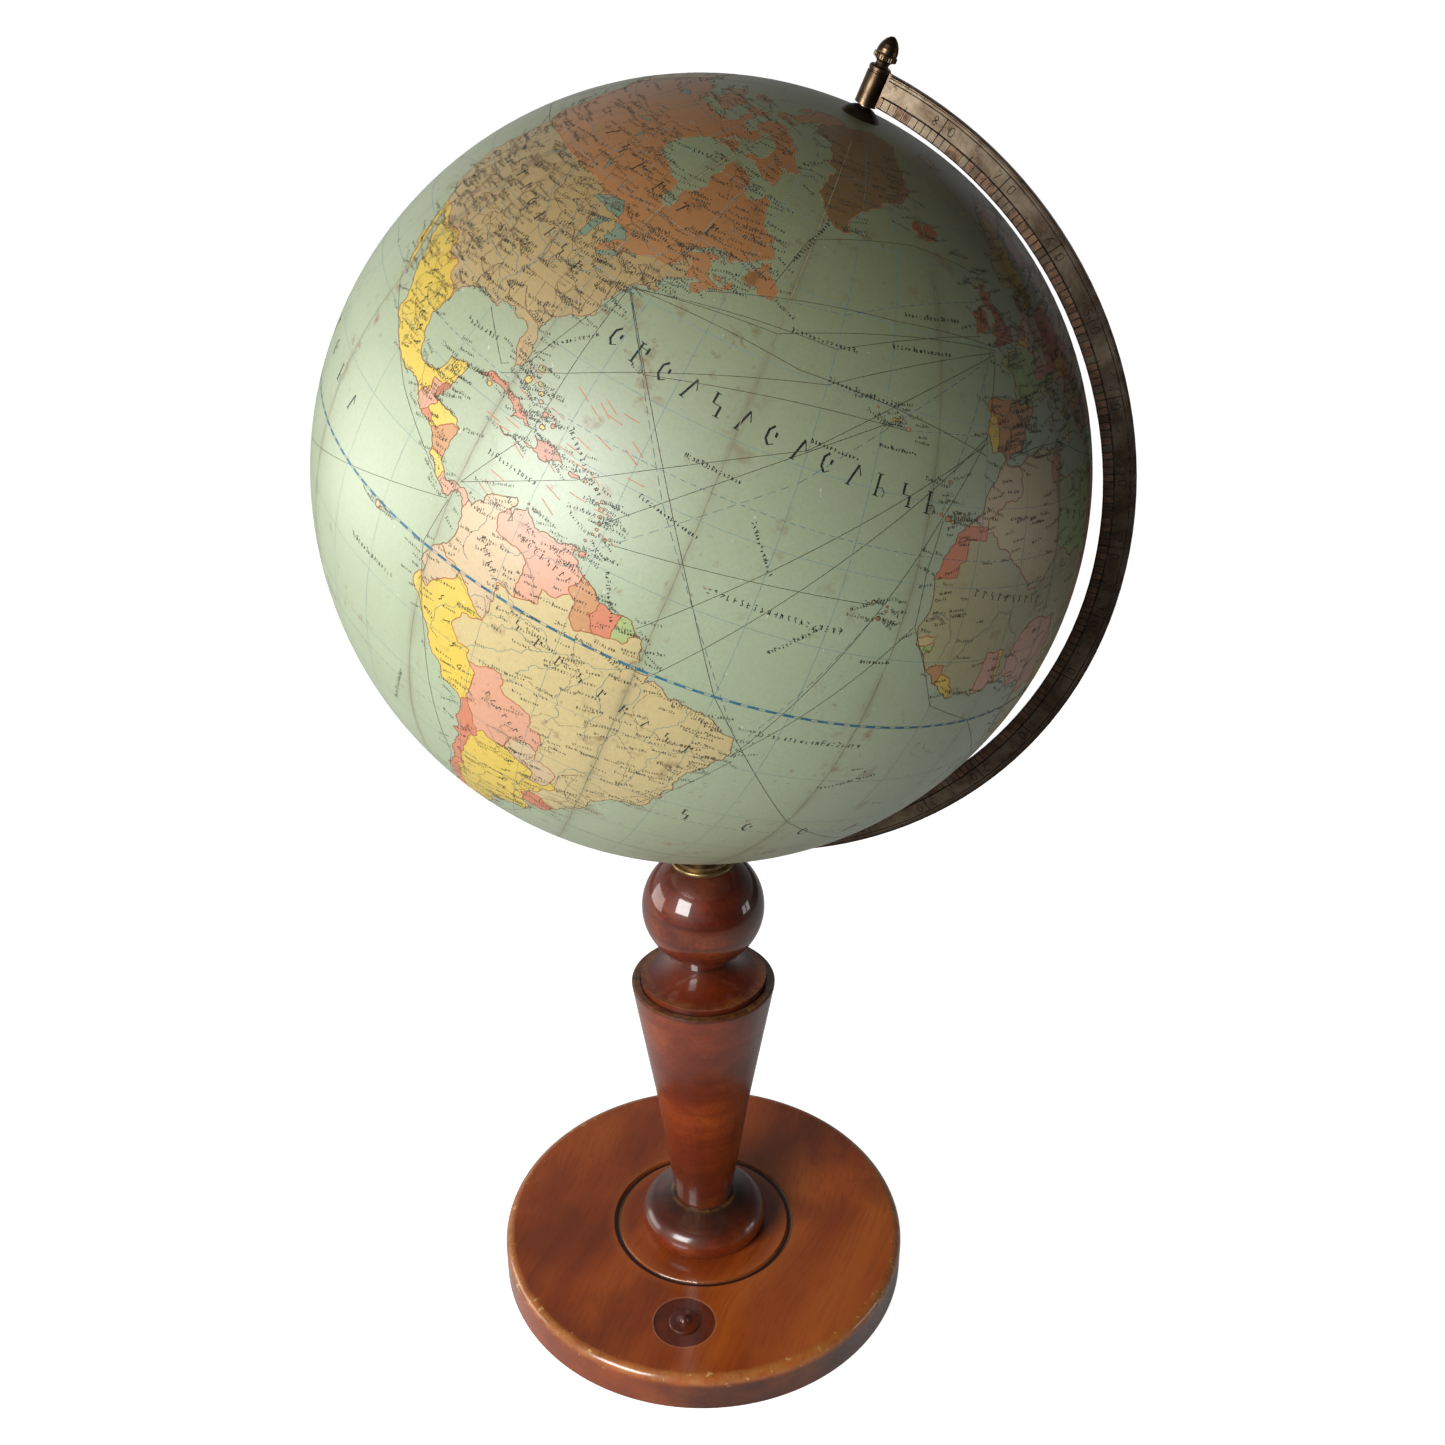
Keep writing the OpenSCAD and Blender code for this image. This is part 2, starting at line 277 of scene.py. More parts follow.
def aged_brass(name, clean, tarnish, rough, amount, scale=60.0):
    """Brass with patches of tarnish; amount is how much of it they cover."""
    g = Graph(name, Metallic=1.0)
    patches = g.noise(scale, 6.0, 0.65, 0.4)
    fine = g.noise(scale * 9.0, 4.0, 0.6)
    body = g.mix(g.ramp(patches, (0.52 - 0.2 * amount, 0.0), (0.70 - 0.1 * amount, 1.0)), clean, tarnish)
    g.set("Base Color", g.mix(g.ramp(fine, (0.60, 0.0), (0.72, 0.6)), body, (0.05, 0.03, 0.02)))
    g.set("Roughness", g.math("ADD", rough, g.times(patches, 0.25)))
    brushed = g.noise(1400.0, 2.0, 0.5, 0.0, g.scaled((1.0, 1.0, 0.15)))
    g.set("Normal", g.bump(brushed, 0.00003, 0.3, g.bump(fine, 0.00004, 0.3)))
    return g.mat


def meridian_face():
    """The meridian's flat strip: old pinkish brass with brown stains, and painted shade that darkens it towards the
    lower end.
    """
    g = Graph("meridian_metal", Metallic=1.0)
    z = g.axes()[2]
    patches = g.noise(48.0, 6.0, 0.7, 0.6)
    spots = g.noise(330.0, 4.0, 0.7)
    body = g.ramp(patches, (0.36, (0.13, 0.092, 0.058)), (0.52, (0.205, 0.160, 0.108)), (0.68, (0.265, 0.21, 0.145)))
    # painted shade: the strip is darkened towards its lower end, fully below 0.33 m, fading out by 0.62 m; the patches
    # add real brown stains
    low = g.math("SUBTRACT", 1.0, g.above(z, 0.33, 0.62), clamp=True)
    stain_and_shade = g.math("ADD", g.times(low, 0.50), g.ramp(patches, (0.40, 0.34), (0.62, 0.0)), clamp=True)
    uneven = g.ramp(g.noise(95.0, 5.0, 0.7), (0.33, 0.35), (0.66, 1.0))
    body = g.mix(g.times(stain_and_shade, uneven), body, (0.055, 0.034, 0.022))
    body = g.mix(g.ramp(spots, (0.60, 0.0), (0.70, 0.75)), body, (0.05, 0.028, 0.018))
    g.set("Base Color", body)
    g.set("Roughness", g.math("ADD", 0.21, g.times(patches, 0.16)))
    g.set("Normal", g.bump(spots, 0.00004, 0.4, g.bump(patches, 0.00010, 0.3)))
    return g.mat


def inked(name, tone, rough=0.45, shine=0.4):
    """Ink or enamel of the printed and engraved lines, a little uneven."""
    g = Graph(name, Roughness=rough, Specular_IOR_Level=shine)
    wear = g.noise(260.0, 3.0, 0.6)
    faded = tuple(min(1.0, c * 1.9 + 0.05) for c in tone)
    g.set("Base Color", g.mix(g.ramp(wear, (0.40, 0.0), (0.70, 0.45)), tone, faded))
    g.set("Normal", g.bump(wear, 0.00002, 0.2))
    return g.mat


def seam_grime(g, reach, strength):
    """Mask that follows the joints between the gores; reach is in degrees of longitude."""
    x, y, z = g.axes(g.scaled((1, 1, 1), shift=tuple(-CENTRE)))
    side = g.math("ADD", g.times(x, float(EAST[0])), g.times(z, float(EAST[2])))
    turn = g.math("DIVIDE", g.math("ARCTAN2", y, side), math.radians(GORE))
    off = (SEAM_0 - PRIME_OFFSET) / GORE
    part = g.math("FRACT", g.math("SUBTRACT", turn, off - math.floor(off) - 8))  # the 8 keeps it above zero
    near = g.times(g.math("MINIMUM", part, g.math("SUBTRACT", 1.0, part)), GORE)
    mask = g.math("SUBTRACT", 1.0, g.math("DIVIDE", near, reach), clamp=True)
    uneven = g.ramp(g.noise(34.0, 5.0, 0.65), (0.36, 0.1), (0.64, 1.0))
    return g.times(mask, uneven, strength)


def printed_paper():
    """Map paper: tints come from the mesh, with foxing, scuffs, seams' grime and yellowed varnish over them."""
    g = Graph("map_print", Coat_Weight=1.0, Coat_IOR=1.52, Coat_Roughness=0.47, Specular_IOR_Level=0.7)
    tint = g.add("ShaderNodeAttribute", attribute_name="tint").outputs["Color"]
    wash = g.noise(14.0, 5.0, 0.6, 0.5)
    fibre = g.noise(700.0, 3.0, 0.6)
    body = g.mix(g.ramp(wash, (0.35, 0.16), (0.65, 0.0)), tint, (0.30, 0.30, 0.16))
    body = g.mix(g.ramp(wash, (0.50, 0.0), (0.78, 0.14)), body, (0.62, 0.64, 0.46))
    body = g.mix(g.ramp(fibre, (0.35, 0.10), (0.60, 0.0)), body, (0.20, 0.18, 0.10))
    patch = g.ramp(g.noise(9.0, 3.0, 0.6, 1.0), (0.42, 0.0), (0.60, 1.0))
    dots = g.ramp(g.noise(95.0, 4.0, 0.60), (0.60, 0.0), (0.70, 1.0))
    tiny = g.ramp(g.noise(260.0, 3.0, 0.6), (0.64, 0.0), (0.72, 1.0))
    foxing = g.times(patch, g.math("MAXIMUM", dots, tiny), 0.70)
    body = g.mix(foxing, body, (0.27, 0.13, 0.035))
    body = g.mix(seam_grime(g, 0.9, 0.38), body, (0.20, 0.17, 0.085))
    body = g.mix(seam_grime(g, 4.0, 0.20), body, (0.24, 0.21, 0.12))
    streak = g.noise(55.0, 5.0, 0.7, 0.0, g.scaled((1.0, 1.0, 0.22), (0.35, 0.5, 0.2)))
    body = g.mix(g.ramp(streak, (0.66, 0.0), (0.76, 0.30)), body, (0.17, 0.13, 0.06))
    flakes = g.noise(420.0, 2.0, 0.5, 0.0, g.scaled((1.0, 1.0, 0.5), (0.7, 0.2, 0.9)))
    body = g.mix(g.times(g.ramp(flakes, (0.745, 0.0), (0.77, 1.0)), 0.8), body, (0.72, 0.72, 0.62))
    # the paper is darkened towards the north pole
    northward = g.measure("DOT_PRODUCT", g.scaled((1, 1, 1), shift=tuple(-CENTRE)), tuple(AXLE / GLOBE_R))
    northward_darkening = g.math("ADD", g.above(northward, 0.22, 0.90), g.times(g.math("SUBTRACT", wash, 0.5), 0.5), clamp=True)
    body = g.mix(northward_darkening, body, (0.46, 0.42, 0.33), "MULTIPLY")
    g.set("Base Color", body)
    g.set("Roughness", g.math("ADD", 0.45, g.times(wash, 0.12)))
    g.set("Normal", g.bump(fibre, 0.00003, 0.25, g.bump(g.noise(120.0, 4.0, 0.6), 0.00008, 0.35)))
    g.set("Coat Normal", g.bump(g.noise(45.0, 4.0, 0.55), 0.00025, 0.35))
    return g.mat


def pasteboard():
    g = Graph("pasteboard", Roughness=0.85)
    pulp = g.noise(160.0, 5.0, 0.65)
    g.set("Base Color", g.ramp(pulp, (0.3, (0.42, 0.33, 0.22)), (0.7, (0.62, 0.52, 0.37))))
    g.set("Normal", g.bump(pulp, 0.0001, 0.5))
    return g.mat


def green_felt():
    g = Graph("green_felt", Roughness=0.95, Sheen_Weight=0.4)
    nap = g.noise(900.0, 4.0, 0.7)
    g.set("Base Color", g.ramp(nap, (0.3, (0.02, 0.06, 0.03)), (0.7, (0.06, 0.14, 0.07))))
    g.set("Normal", g.bump(nap, 0.0003, 0.7))
    return g.mat


def dull_steel():
    g = Graph("dull_steel", Metallic=1.0)
    film = g.noise(120.0, 5.0, 0.6)
    g.set("Base Color", g.ramp(film, (0.3, (0.30, 0.28, 0.25)), (0.7, (0.52, 0.51, 0.48))))
    g.set("Roughness", g.math("ADD", 0.3, g.times(film, 0.3)))
    g.set("Normal", g.bump(g.noise(1500.0, 2.0, 0.5, 0.0, g.scaled((1, 1, 0.1))), 0.00003, 0.4))
    return g.mat


def raw_wood():
    g = Graph("raw_wood", Roughness=0.7)
    rings = g.noise(60.0, 5.0, 0.6, 0.5, g.scaled((1.0, 1.0, 0.1)))
    g.set("Base Color", g.ramp(rings, (0.3, (0.38, 0.24, 0.12)), (0.7, (0.62, 0.46, 0.28))))
    g.set("Normal", g.bump(rings, 0.0001, 0.4))
    return g.mat


# ---------------------------------------------------------------- map drawn as longitude,latitude
# Coasts are closed loops. A loop inside another loop is water.
COASTS = """
-168,66 -166.5,68.3 -163,69.8 -156.6,71.3 -150,70.5 -141,69.6 -136,69 -134.5,69.6 -129,70 -127.5,70.5 -124.5,70 -123,69.5
-119,69.2 -115,68.6 -115,67.9 -110.5,67.8 -108,67.6 -107.5,68.2 -105,68 -102,67.7 -98.5,67.8 -97.5,68.5 -96,68.2 -96,67.2
-94.5,68 -93.8,69.3 -96,70 -94.5,71.9 -92,71 -91.5,69.7 -88,68.6 -86,67.8 -85,69 -84.5,69.8 -81.5,69.2 -81.3,67.5 -84,66.3
-86.5,66.4 -87,65.3 -88,64.2 -90.7,63.4 -93,62 -94,61 -94.7,59 -92.5,57 -90,57 -87.5,56.3 -85,55.3 -82.2,55.1 -82,53
-80.5,51.3 -79,51.5 -78.8,53 -79.7,54.7 -77.5,55.6 -76.6,57 -78.5,58.8 -77.5,60 -78,62.3 -74,62.3 -71,61.1 -69.5,61
-69.5,59 -67.5,58.3 -66,58.8 -65,60 -64.5,60.4 -63,58.5 -61.5,57 -61,55.8 -59.5,55 -57.5,54.7 -57.5,54 -60,53.6 -57,53.5
-55.7,52.2 -57.5,51.4 -60,50.2 -65,50.3 -67,49.6 -68.5,49 -70,47.8 -71.2,46.8 -69.5,47.9 -67,49 -64.5,49.1 -64.3,48.7
-66,48 -64.9,47.6 -64.8,46.5 -63.5,45.9 -61.5,45.7 -61,45.3 -63.5,44.6 -65.6,43.5 -66.2,44.2 -64.5,45.3 -66,45.2 -67,44.9
-68.5,44.3 -70,43.7 -70.7,42.9 -71,42.3 -70.6,41.9 -70,42 -70,41.6 -71.4,41.4 -73.5,41 -74,40.6 -74.2,39.7 -74.9,38.9
-75.5,39.5 -75.1,38.6 -75.9,37.2 -76.3,39 -76.3,37 -75.9,36.6 -75.5,35.3 -76.6,34.7 -77.9,33.9 -79.2,33.2 -80.8,32.2
-81.4,31 -81.3,29.9 -80.5,28.4 -80.05,26.8 -80.3,25.4 -81.1,25.1 -81.8,26.1 -82.7,27.6 -82.7,28.9 -83.8,30 -85.3,29.7
-86.5,30.4 -88.1,30.3 -89.4,30.3 -89.2,29.2 -90.5,29.2 -91.8,29.6 -93.8,29.7 -95,29 -96.8,28.1 -97.4,26.9 -97.2,25.9
-97.8,24 -97.8,22.2 -97.2,20.6 -96.1,19.2 -94.6,18.2 -92.6,18.6 -91.2,18.7 -90.6,19.6 -90.4,21 -88.2,21.6 -87,21.5
-87.5,19.7 -87.8,18.4 -88.3,17.2 -88.9,15.9 -87.4,15.8 -85.9,16 -84.6,15.8 -83.2,15 -83.5,13.5 -83.7,11.6 -83.6,10.8
-82.3,9.4 -81.5,8.8 -79.9,9.4 -78.8,9.5 -77.4,8.6 -76.8,8.1 -75.6,9.5 -75.5,10.6 -74.2,11.3 -72.2,12.1 -71.7,12.4
-71.3,11.6 -71.9,10.8 -71.6,9.2 -71,9.6 -71.4,11 -70,11.6 -69.9,12.1 -69.5,11.5 -68.3,10.7 -66.2,10.6 -64.7,10.2
-63.9,10.6 -62,10.7 -62.5,10 -61.5,9.5 -60.8,8.5 -58.5,7.3 -57.2,6 -54,5.8 -52.3,4.9 -51.2,4 -50.5,2 -50,1 -51,0
-50.5,-0.2 -48.4,-0.3 -48.5,-1.4 -47.5,-0.7 -44.5,-2.3 -43.5,-2.4 -41.5,-2.9 -39.5,-3 -38.5,-3.7 -37,-4.9 -35.3,-5.2
-34.8,-7.3 -35.1,-9 -36.5,-10.6 -37.5,-12 -38.6,-13 -39,-14.8 -39,-17 -39.8,-19.6 -41,-22 -42,-23 -44.5,-23.2 -46.3,-24
-48.4,-25.8 -48.6,-27.5 -49.8,-29.3 -52.1,-32.1 -53.6,-34 -55,-34.9 -57.8,-34.4 -58.4,-33.9 -58.2,-34.9 -57,-36.3
-57.6,-38.1 -61.8,-38.9 -62.2,-40 -65,-41 -64.9,-42.3 -63.7,-42.5 -65,-43.2 -65.5,-45 -67.5,-46 -65.8,-47.6 -67.6,-49.2
-69,-50.8 -68.4,-52.3 -70.9,-53.4 -71.5,-53.8 -74,-52.5 -75.3,-50 -75.6,-47 -74.5,-45.5 -73,-43.5 -73.8,-41.8 -73.4,-39.5
-73.6,-37.2 -72.5,-35.5 -71.6,-33 -71.6,-30 -70.5,-27 -70.5,-23.5 -70.2,-20.5 -70.4,-18.4 -72.5,-17 -76,-14 -77.2,-12
-78.7,-9 -79.8,-7 -81.2,-6 -81.3,-4.5 -80.2,-3.3 -80,-2.6 -81,-2.2 -80.4,-0.5 -79.7,0.9 -78.8,1.6 -77.4,3.5 -77.5,6
-77.9,7.3 -78.4,8.3 -79.6,9 -80.3,8.2 -80.5,7.3 -81.7,7.7 -82.9,8.2 -83.6,8.6 -84.8,9.9 -85.8,10.3 -85.8,11.1 -87.5,12.9
-89.5,13.3 -91.5,14 -93.9,16 -95,16.1 -96.6,15.7 -99.8,16.8 -101.9,17.9 -104.5,19.2 -105.6,20.4 -105.3,21.6 -106.5,23.3
-108.5,25.2 -109.3,26.6 -111,28 -112.5,29.8 -113.1,31.2 -114.8,31.8 -114.7,30.5 -112.8,28.2 -111.3,26 -110.3,24.3
-109.5,23.1 -110.3,23.3 -112.1,25 -112.2,26.2 -114.5,27.2 -115,27.8 -114.2,28.4 -115.8,30.2 -117.1,32.5 -118.5,34
-120.6,34.6 -121.9,36.6 -122.5,37.8 -123.8,39.2 -124.3,40.4 -124.5,42.8 -124,46.2 -124.7,48.4 -122.8,48.3 -122.4,47.5
-122.8,49 -124.8,50.2 -127.6,51.2 -128.5,52.8 -130.3,54.6 -132.5,56 -134.5,58.2 -137,58.8 -139.6,59.6 -143.5,60
-146.5,60.8 -148.5,60 -151.5,59.3 -150.5,61.2 -153.5,59.5 -154.5,58.2 -158.5,56.1 -162.5,55 -164.8,54.6 -161,56
-157.5,58.6 -162,58.7 -164.5,60.3 -165.5,62 -163.5,63.2 -161,64.4 -165,64.5 -168,65.6
;-73,78.3 -67.5,80.3 -62,81.8 -50,82.5 -40,83.2 -30,83.6 -22,82.8 -12,81.4 -16.5,80 -19,78 -19.5,76 -20.5,74.5 -22,72.5
-22,70.4 -26,68.8 -32,68 -37,65.8 -41,64 -43,60.2 -45.5,60.3 -49,61.5 -51.5,63.7 -53.5,66.5 -53.5,68.5 -51,69.8
-54.5,70.7 -55.5,72.8 -58.5,75.2 -66,76.1 -70.5,76.2 -71,77.3
;-85,73.7 -81,73.7 -77,72.8 -72,71.5 -68,70.3 -67,69 -64,67.3 -61.5,66.6 -64,65.2 -67,66.2 -65,63.5 -65,62.2 -69,62.6
-74,64.5 -77.8,64.3 -76,65.5 -73,65.5 -73,68 -77,69.5 -80,70.2 -85,70 -89,71 -88.5,72.5
;-115.5,69.3 -105,69 -101.5,69.8 -105,71 -105,72.8 -110,73 -114,72.7 -118,72 -117,70.6 -113,70.4 -117.3,69.8
;-125.5,72 -123,71.2 -120,72.3 -116,73.3 -119,74.2 -124,74.3
;-89,76.5 -79,76.3 -77.5,78 -75,79.2 -66,80.8 -61.5,82.4 -70,83.1 -85,82.4 -91,81.5 -86,80 -87,78
;-92,76.6 -89,75.6 -80,75.6 -79.7,74.8 -91,74.7 ;-95,81 -90,80.5 -88.3,78.9 -92.5,78.6 -96,80
;-117,75.5 -106,75 -105.5,76 -109,76.5 -115,76.5 ;-95,74 -90.5,73.9 -92.5,72.6 -95.5,72 ;-102,73 -97.5,73.8 -96.8,72 -98.5,71.4
;-87,63.7 -84,64 -80.5,63.8 -84,65.9 -86,66 ;-59.3,47.9 -57.5,50 -56,51.5 -55.5,50.3 -53.5,49.2 -53,47 -55.5,46.9 -56,47.7
;-61.4,46 -60.3,47 -59.9,46 -60.8,45.6 ;-64,46.8 -62,46.4 -63,46.1 ;-64.4,49.9 -61.8,49.2 -63,49.1
;-128.2,50.7 -125.2,50.1 -123.4,48.5 -125,48.7 ;-133,54 -131.7,54 -131.2,52.2
;-84.9,21.9 -83,23 -80.5,23.1 -77.5,21.9 -75.7,21.1 -74.2,20.2 -77.7,19.9 -77.2,20.7 -78.5,21.4 -81.8,22.2 -83.5,22.2
;-74.4,18.5 -72.5,18.5 -72.6,19.2 -73.4,19.8 -71.7,19.8 -69.8,19.6 -68.4,18.6 -70,18.4 -71.4,17.7 -72,18.2
;-78.3,18.3 -76.3,18.1 -77.2,17.8 ;-67.2,18.4 -65.7,18.4 -66,18 -67.2,18 ;-61.8,10.7 -60.9,10.8 -61,10.1 -61.8,10.1
;-61,-51.8 -59,-51.3 -57.8,-51.6 -59.5,-52.3 ;-70.5,-52.9 -68.3,-53 -65.2,-54.7 -68.5,-55.4 -72,-54.4 -71,-53.9
;-24,65.5 -22.5,66.4 -20.3,65.8 -16.3,66.5 -14.6,65 -16.5,64 -18.8,63.4 -22.7,63.8 -22,64.5 -24,64.9
;11,79.7 16,80 24,80.3 27,80 18.5,77.9 17,76.7 14,77.8
;-5.7,50.1 -3.5,50.3 -1,50.7 1.3,51.2 1.7,52.7 0.2,53 -0.2,54 -1.6,55.5 -3.2,56 -1.9,57.6 -4,57.7 -3.1,58.6 -5,58.6
-5.8,57.3 -5.6,56 -4.8,55 -3.2,54.9 -3,53.5 -4.6,53.2 -4.3,52.3 -5.2,51.9 -3,51.4 -4.3,51.1
;-10,51.6 -8,51.8 -6.3,52.2 -6,53.5 -5.6,54.6 -7.3,55.3 -8.5,54.6 -10,54.2 -9.3,53.2
;25.7,71.1 31,70.3 33,69.4 41,67.5 40.8,66.5 35,66.5 32.5,67.1 34.8,64.5 38,64 40,64.7 43.5,66.2 44,68.5 46,66.9 53.5,68.3
60,69.8 68,68.3 67,71.5 72.5,72.8 73,69 72,66.5 74.5,68.5 78,72.2 80.5,73.6 87,75 98,76.2 104.3,77.7 113,75.7 107,73.2
113.5,73.5 120,73 127,72.6 129,71 133,71.6 140,72.5 150,71.6 160,69.7 170,70 177,69.5 185,67.5 189.6,66 187,64.5 181,65.5
179,62.5 174,61.7 170,60 163.5,59.8 162,56 160,53 156.7,51 155.6,55.5 157,58 163,61.5 160,61.8 156.5,61.5 154,59.4
149,59.5 142.5,59.3 138,56.5 135.3,54.7 139,54.2 141,53 140.5,50.5 138.3,46.7 135,43.5 131.8,43.2 130.5,42.3 127.6,39.5
129.4,36.8 129,35.1 126.3,34.4 126.7,37 125,38 125,39.6 121.2,38.8 122,40.6 119,39.2 117.7,38.8 119.2,37.3 122.5,37.3
119.3,35 121.8,32 121.8,31 122,29.5 119.8,26 117,23.6 114,22.4 110.5,21.3 109.9,20.3 108.3,21.6 106,19.8 106.5,17.8
109.2,13.5 109,11.5 106.7,10.4 104.8,8.6 104.5,10.4 102.3,12.2 100.5,13.4 99.3,11 99.3,9.3 100.6,7.2 103.4,4.5 103.5,1.4
101.3,2.9 100.3,6 98.3,8 98.6,12 97.5,16.5 95.2,15.8 94.2,16 94.3,18.8 92,21 90.5,22.3 88,21.7 86.5,20 82.3,16.7 80.1,15
80.3,13 79.8,10.3 78,8.7 77.5,8.1 76.3,10 74.5,14 72.8,19 72.6,21.5 70.5,20.9 69,22.3 70.3,23 67.5,23.9 66.5,25.4
61.5,25.1 57.2,26.8 54.5,26.6 51.3,28 48.8,30.3 48,29.5 50.1,26.5 51,24.6 51.5,25.9 51.6,24.2 54.2,24.2 56.4,26.2
56.8,24.2 59.8,22.5 57.8,19 55,17 52.2,15.6 45,12.8 43.3,12.7 42.8,16.3 39.1,21.5 37,25 34.8,28 35,29.5 34.3,27.8
32.6,29.9 33.8,27.2 35.5,24 37.3,21 37.3,18.7 39.6,15.5 43.2,12 43.2,11.5 44.8,10.5 51.2,11.9 50.8,9 47.5,4.2 43,-0.5
40.2,-2.7 39.2,-6 40.6,-11 40.6,-15 36.9,-17.9 34.8,-19.8 35.5,-23.8 32.8,-25.9 32.3,-28.7 30.5,-31 27,-33.6 22,-34.1
19.8,-34.7 18.3,-34 18.2,-31.8 16.5,-28.6 15,-26.5 14.5,-22.9 11.8,-18 13.6,-12.4 13.4,-9 12.2,-6 9.7,-2.5 9.3,-0.5
9.6,1 9.7,4 8.7,4.6 6,4.3 4.5,6.3 1,5.9 -2,4.8 -4,5.2 -7.6,4.4 -9.3,5.5 -11.5,6.9 -13.2,8.6 -14.9,10.9 -16.7,12.4
-17.3,14.7 -16.3,16.5 -16.3,19 -17,20.9 -16,23.7 -14.4,26.2 -12.9,27.8 -10.2,29.3 -9.7,31.2 -7.6,33.6 -6,35.7 -5.4,35.9
-5.2,35.3 -3,35.2 -1,35.7 3,36.9 8,36.9 11,37.1 10.5,35.7 11.1,35.2 10.1,33.8 11.5,33.1 15.2,32.3 15.6,31.4 19,30.3
20.1,32.2 22,32.9 25,31.6 29,30.9 31,31.6 33.8,31.1 34.6,31.8 35.9,35 36,36.7 33.8,36.1 32.5,36 30.6,36.9 28,36.8
26.5,38.5 26.4,39.8 29.2,40.8 31.3,41.2 35,42 38.5,41 41.5,41.5 39,44 37.3,45.3 39.3,47.2 35,46.3 36.4,45.3 33.6,44.4
32.6,45.7 31,46.6 29.6,45 28,43 28.9,41.2 27,40.7 26,40.5 24,40.8 23.5,40 22.8,40.4 23,39 24,38 23.2,36.5 21.7,36.9
20.9,38.8 19.4,40.5 19.4,41.9 17,43 15,44.5 13.6,45 13.7,45.7 12.4,45.3 12.4,44.2 14,42.6 16,41.9 18.5,40.1 16.9,40.5
17,39 15.8,38 15.7,39.9 14,40.8 12,42 10.3,43.5 8.8,44.4 7.4,43.7 4.5,43.4 3.1,42.6 2,41.3 0,40 -0.2,38.8 -1.8,37
-4.5,36.7 -5.6,36 -6.5,37 -8.9,37 -9.4,38.8 -8.8,41.5 -9.2,43.1 -7.7,43.7 -3.8,43.5 -1.6,43.4 -1.2,45.7 -2.3,47.2
-4.6,48 -3,48.8 -1.6,48.7 -1.7,49.7 0.2,49.6 1.6,50.4 3.5,51.5 4.7,53 7,53.5 8.8,53.9 8.2,55.6 8.6,57.1 10.6,57.7
10.3,56 9.8,54.9 10.9,54.2 13.8,54.2 16.5,54.5 18.7,54.7 21,55.3 21.2,57 22.6,57.7 24.3,57.1 23.6,58.8 28,59.6 30,59.9
28,60.5 23,59.9 21.3,60.8 21.5,63 25.3,65 22,65.8 21,64 17.5,62.3 17.2,60.7 18.8,59.8 16.6,57.8 16,56.3 14.2,55.5
12.8,55.5 11.3,58.5 10.6,59.4 8.5,58.2 6,58.4 5,60.5 5.2,62 8.5,63.5 12,65.5 14,67.7 18,69.6
;47,44.7 50,46.5 53,46.6 51,44.5 53,42 53.8,39 53.8,37 50,37.5 49,40.5 47.5,43
;114,-22 113.5,-26 115.7,-32 115,-34.3 118,-35 123.5,-33.9 129,-31.6 134.2,-32.8 135.8,-34.8 137.8,-33 138.5,-35.5
140,-38 143.5,-38.8 147,-38.5 150,-37.3 151.5,-33 153.2,-29 153,-25.5 149.5,-22.5 146.3,-19 145.3,-15 143.5,-14.3
142.5,-10.8 141.6,-13 141,-17 139.5,-17.6 135.8,-15 137,-12.3 133,-11.5 130.5,-12.5 129.5,-15 126.5,-14 123.5,-17
122.2,-18 119,-20 ;144.8,-40.8 148.2,-40.8 147.5,-43.3 146,-43.4
;172.8,-34.5 175,-36.8 178.4,-37.8 176.8,-40.5 175,-41.5 175,-39.8 173.8,-39.3 174.8,-37.5
;172.8,-40.6 174,-41.5 172.8,-43.8 170.5,-46 168.3,-46.6 166.6,-46 170.5,-43
;131,-0.8 134,-0.8 135.5,-3.3 138,-1.6 144.5,-3.9 147.5,-6 147.2,-7.4 150.6,-10.5 147,-9.5 143.5,-8.5 139,-8 138.5,-6.5
133,-4 132,-2.8 ;109,1.5 111.3,2.5 113,3.2 116.7,7 119,5 117.8,1 116.3,-3.8 114,-3.5 110.2,-2.8
;95.3,5.6 97.5,5.2 103.8,-1 106,-5.8 104.5,-5.8 98.7,1.7 ;105.2,-6.7 108.5,-6.6 114.4,-7.8 114.4,-8.7 106.5,-7.4
;119.8,0.5 125,1.6 120.5,1 121,-1 123.3,-1 121.5,-2.5 122.5,-5.3 120.3,-3 120.3,-5.5 119.4,-5.3 119.4,-3
;120.3,16 120.8,18.5 122.2,18.4 121.5,16 124,13 121,13.8 ;122,7 124,8.5 126.4,8.5 126,6.3 124,6.5
;120.1,23 121.6,25.2 121.8,24.2 120.8,22 ;108.7,19.2 110.5,20 110.5,18.7 109,18.3
;131,33.9 134,35.6 137,37.2 139.8,40 141.2,41.3 142,39.5 140.9,38 140.8,35.7 138.5,34.7 135.8,33.6 132.5,34.2
;130,33.2 131.7,33.6 131.4,31.5 130.2,31.3 ;132.5,33.8 134.6,34.2 134.2,33.3 132.8,32.8
;140,41.5 141.7,45.4 145.3,43.6 143.2,42 ;142,46 142,50 142.8,54 143.5,52 143,49 144.5,49 143,46.8
;80,9.5 81.8,7.5 80.6,6 79.8,7.5 ;49.3,-12.2 50.4,-15.8 47.2,-25 45,-25.5 43.5,-23 44.4,-16.5 47,-15.2
;52,71 57,70.6 60,74 68.5,76.9 61,76.2 56,74 ;12.5,38 15.6,38.2 15.1,36.7 ;8.2,41 9.7,41 9.5,39.2 8.5,39
;8.7,42.5 9.4,43 9.4,41.6 ;23.6,35.5 26.3,35.2 24.5,35 ;32.4,35 34.5,35.6 33,34.6 ;11,55.7 12.6,56 12,54.8
;-170,-78.4 -158,-77 -146,-75.5 -130,-74 -110,-74.5 -100,-72.5 -85,-73 -75,-72 -68,-68.5 -65,-65 -58,-63.3 -60,-66
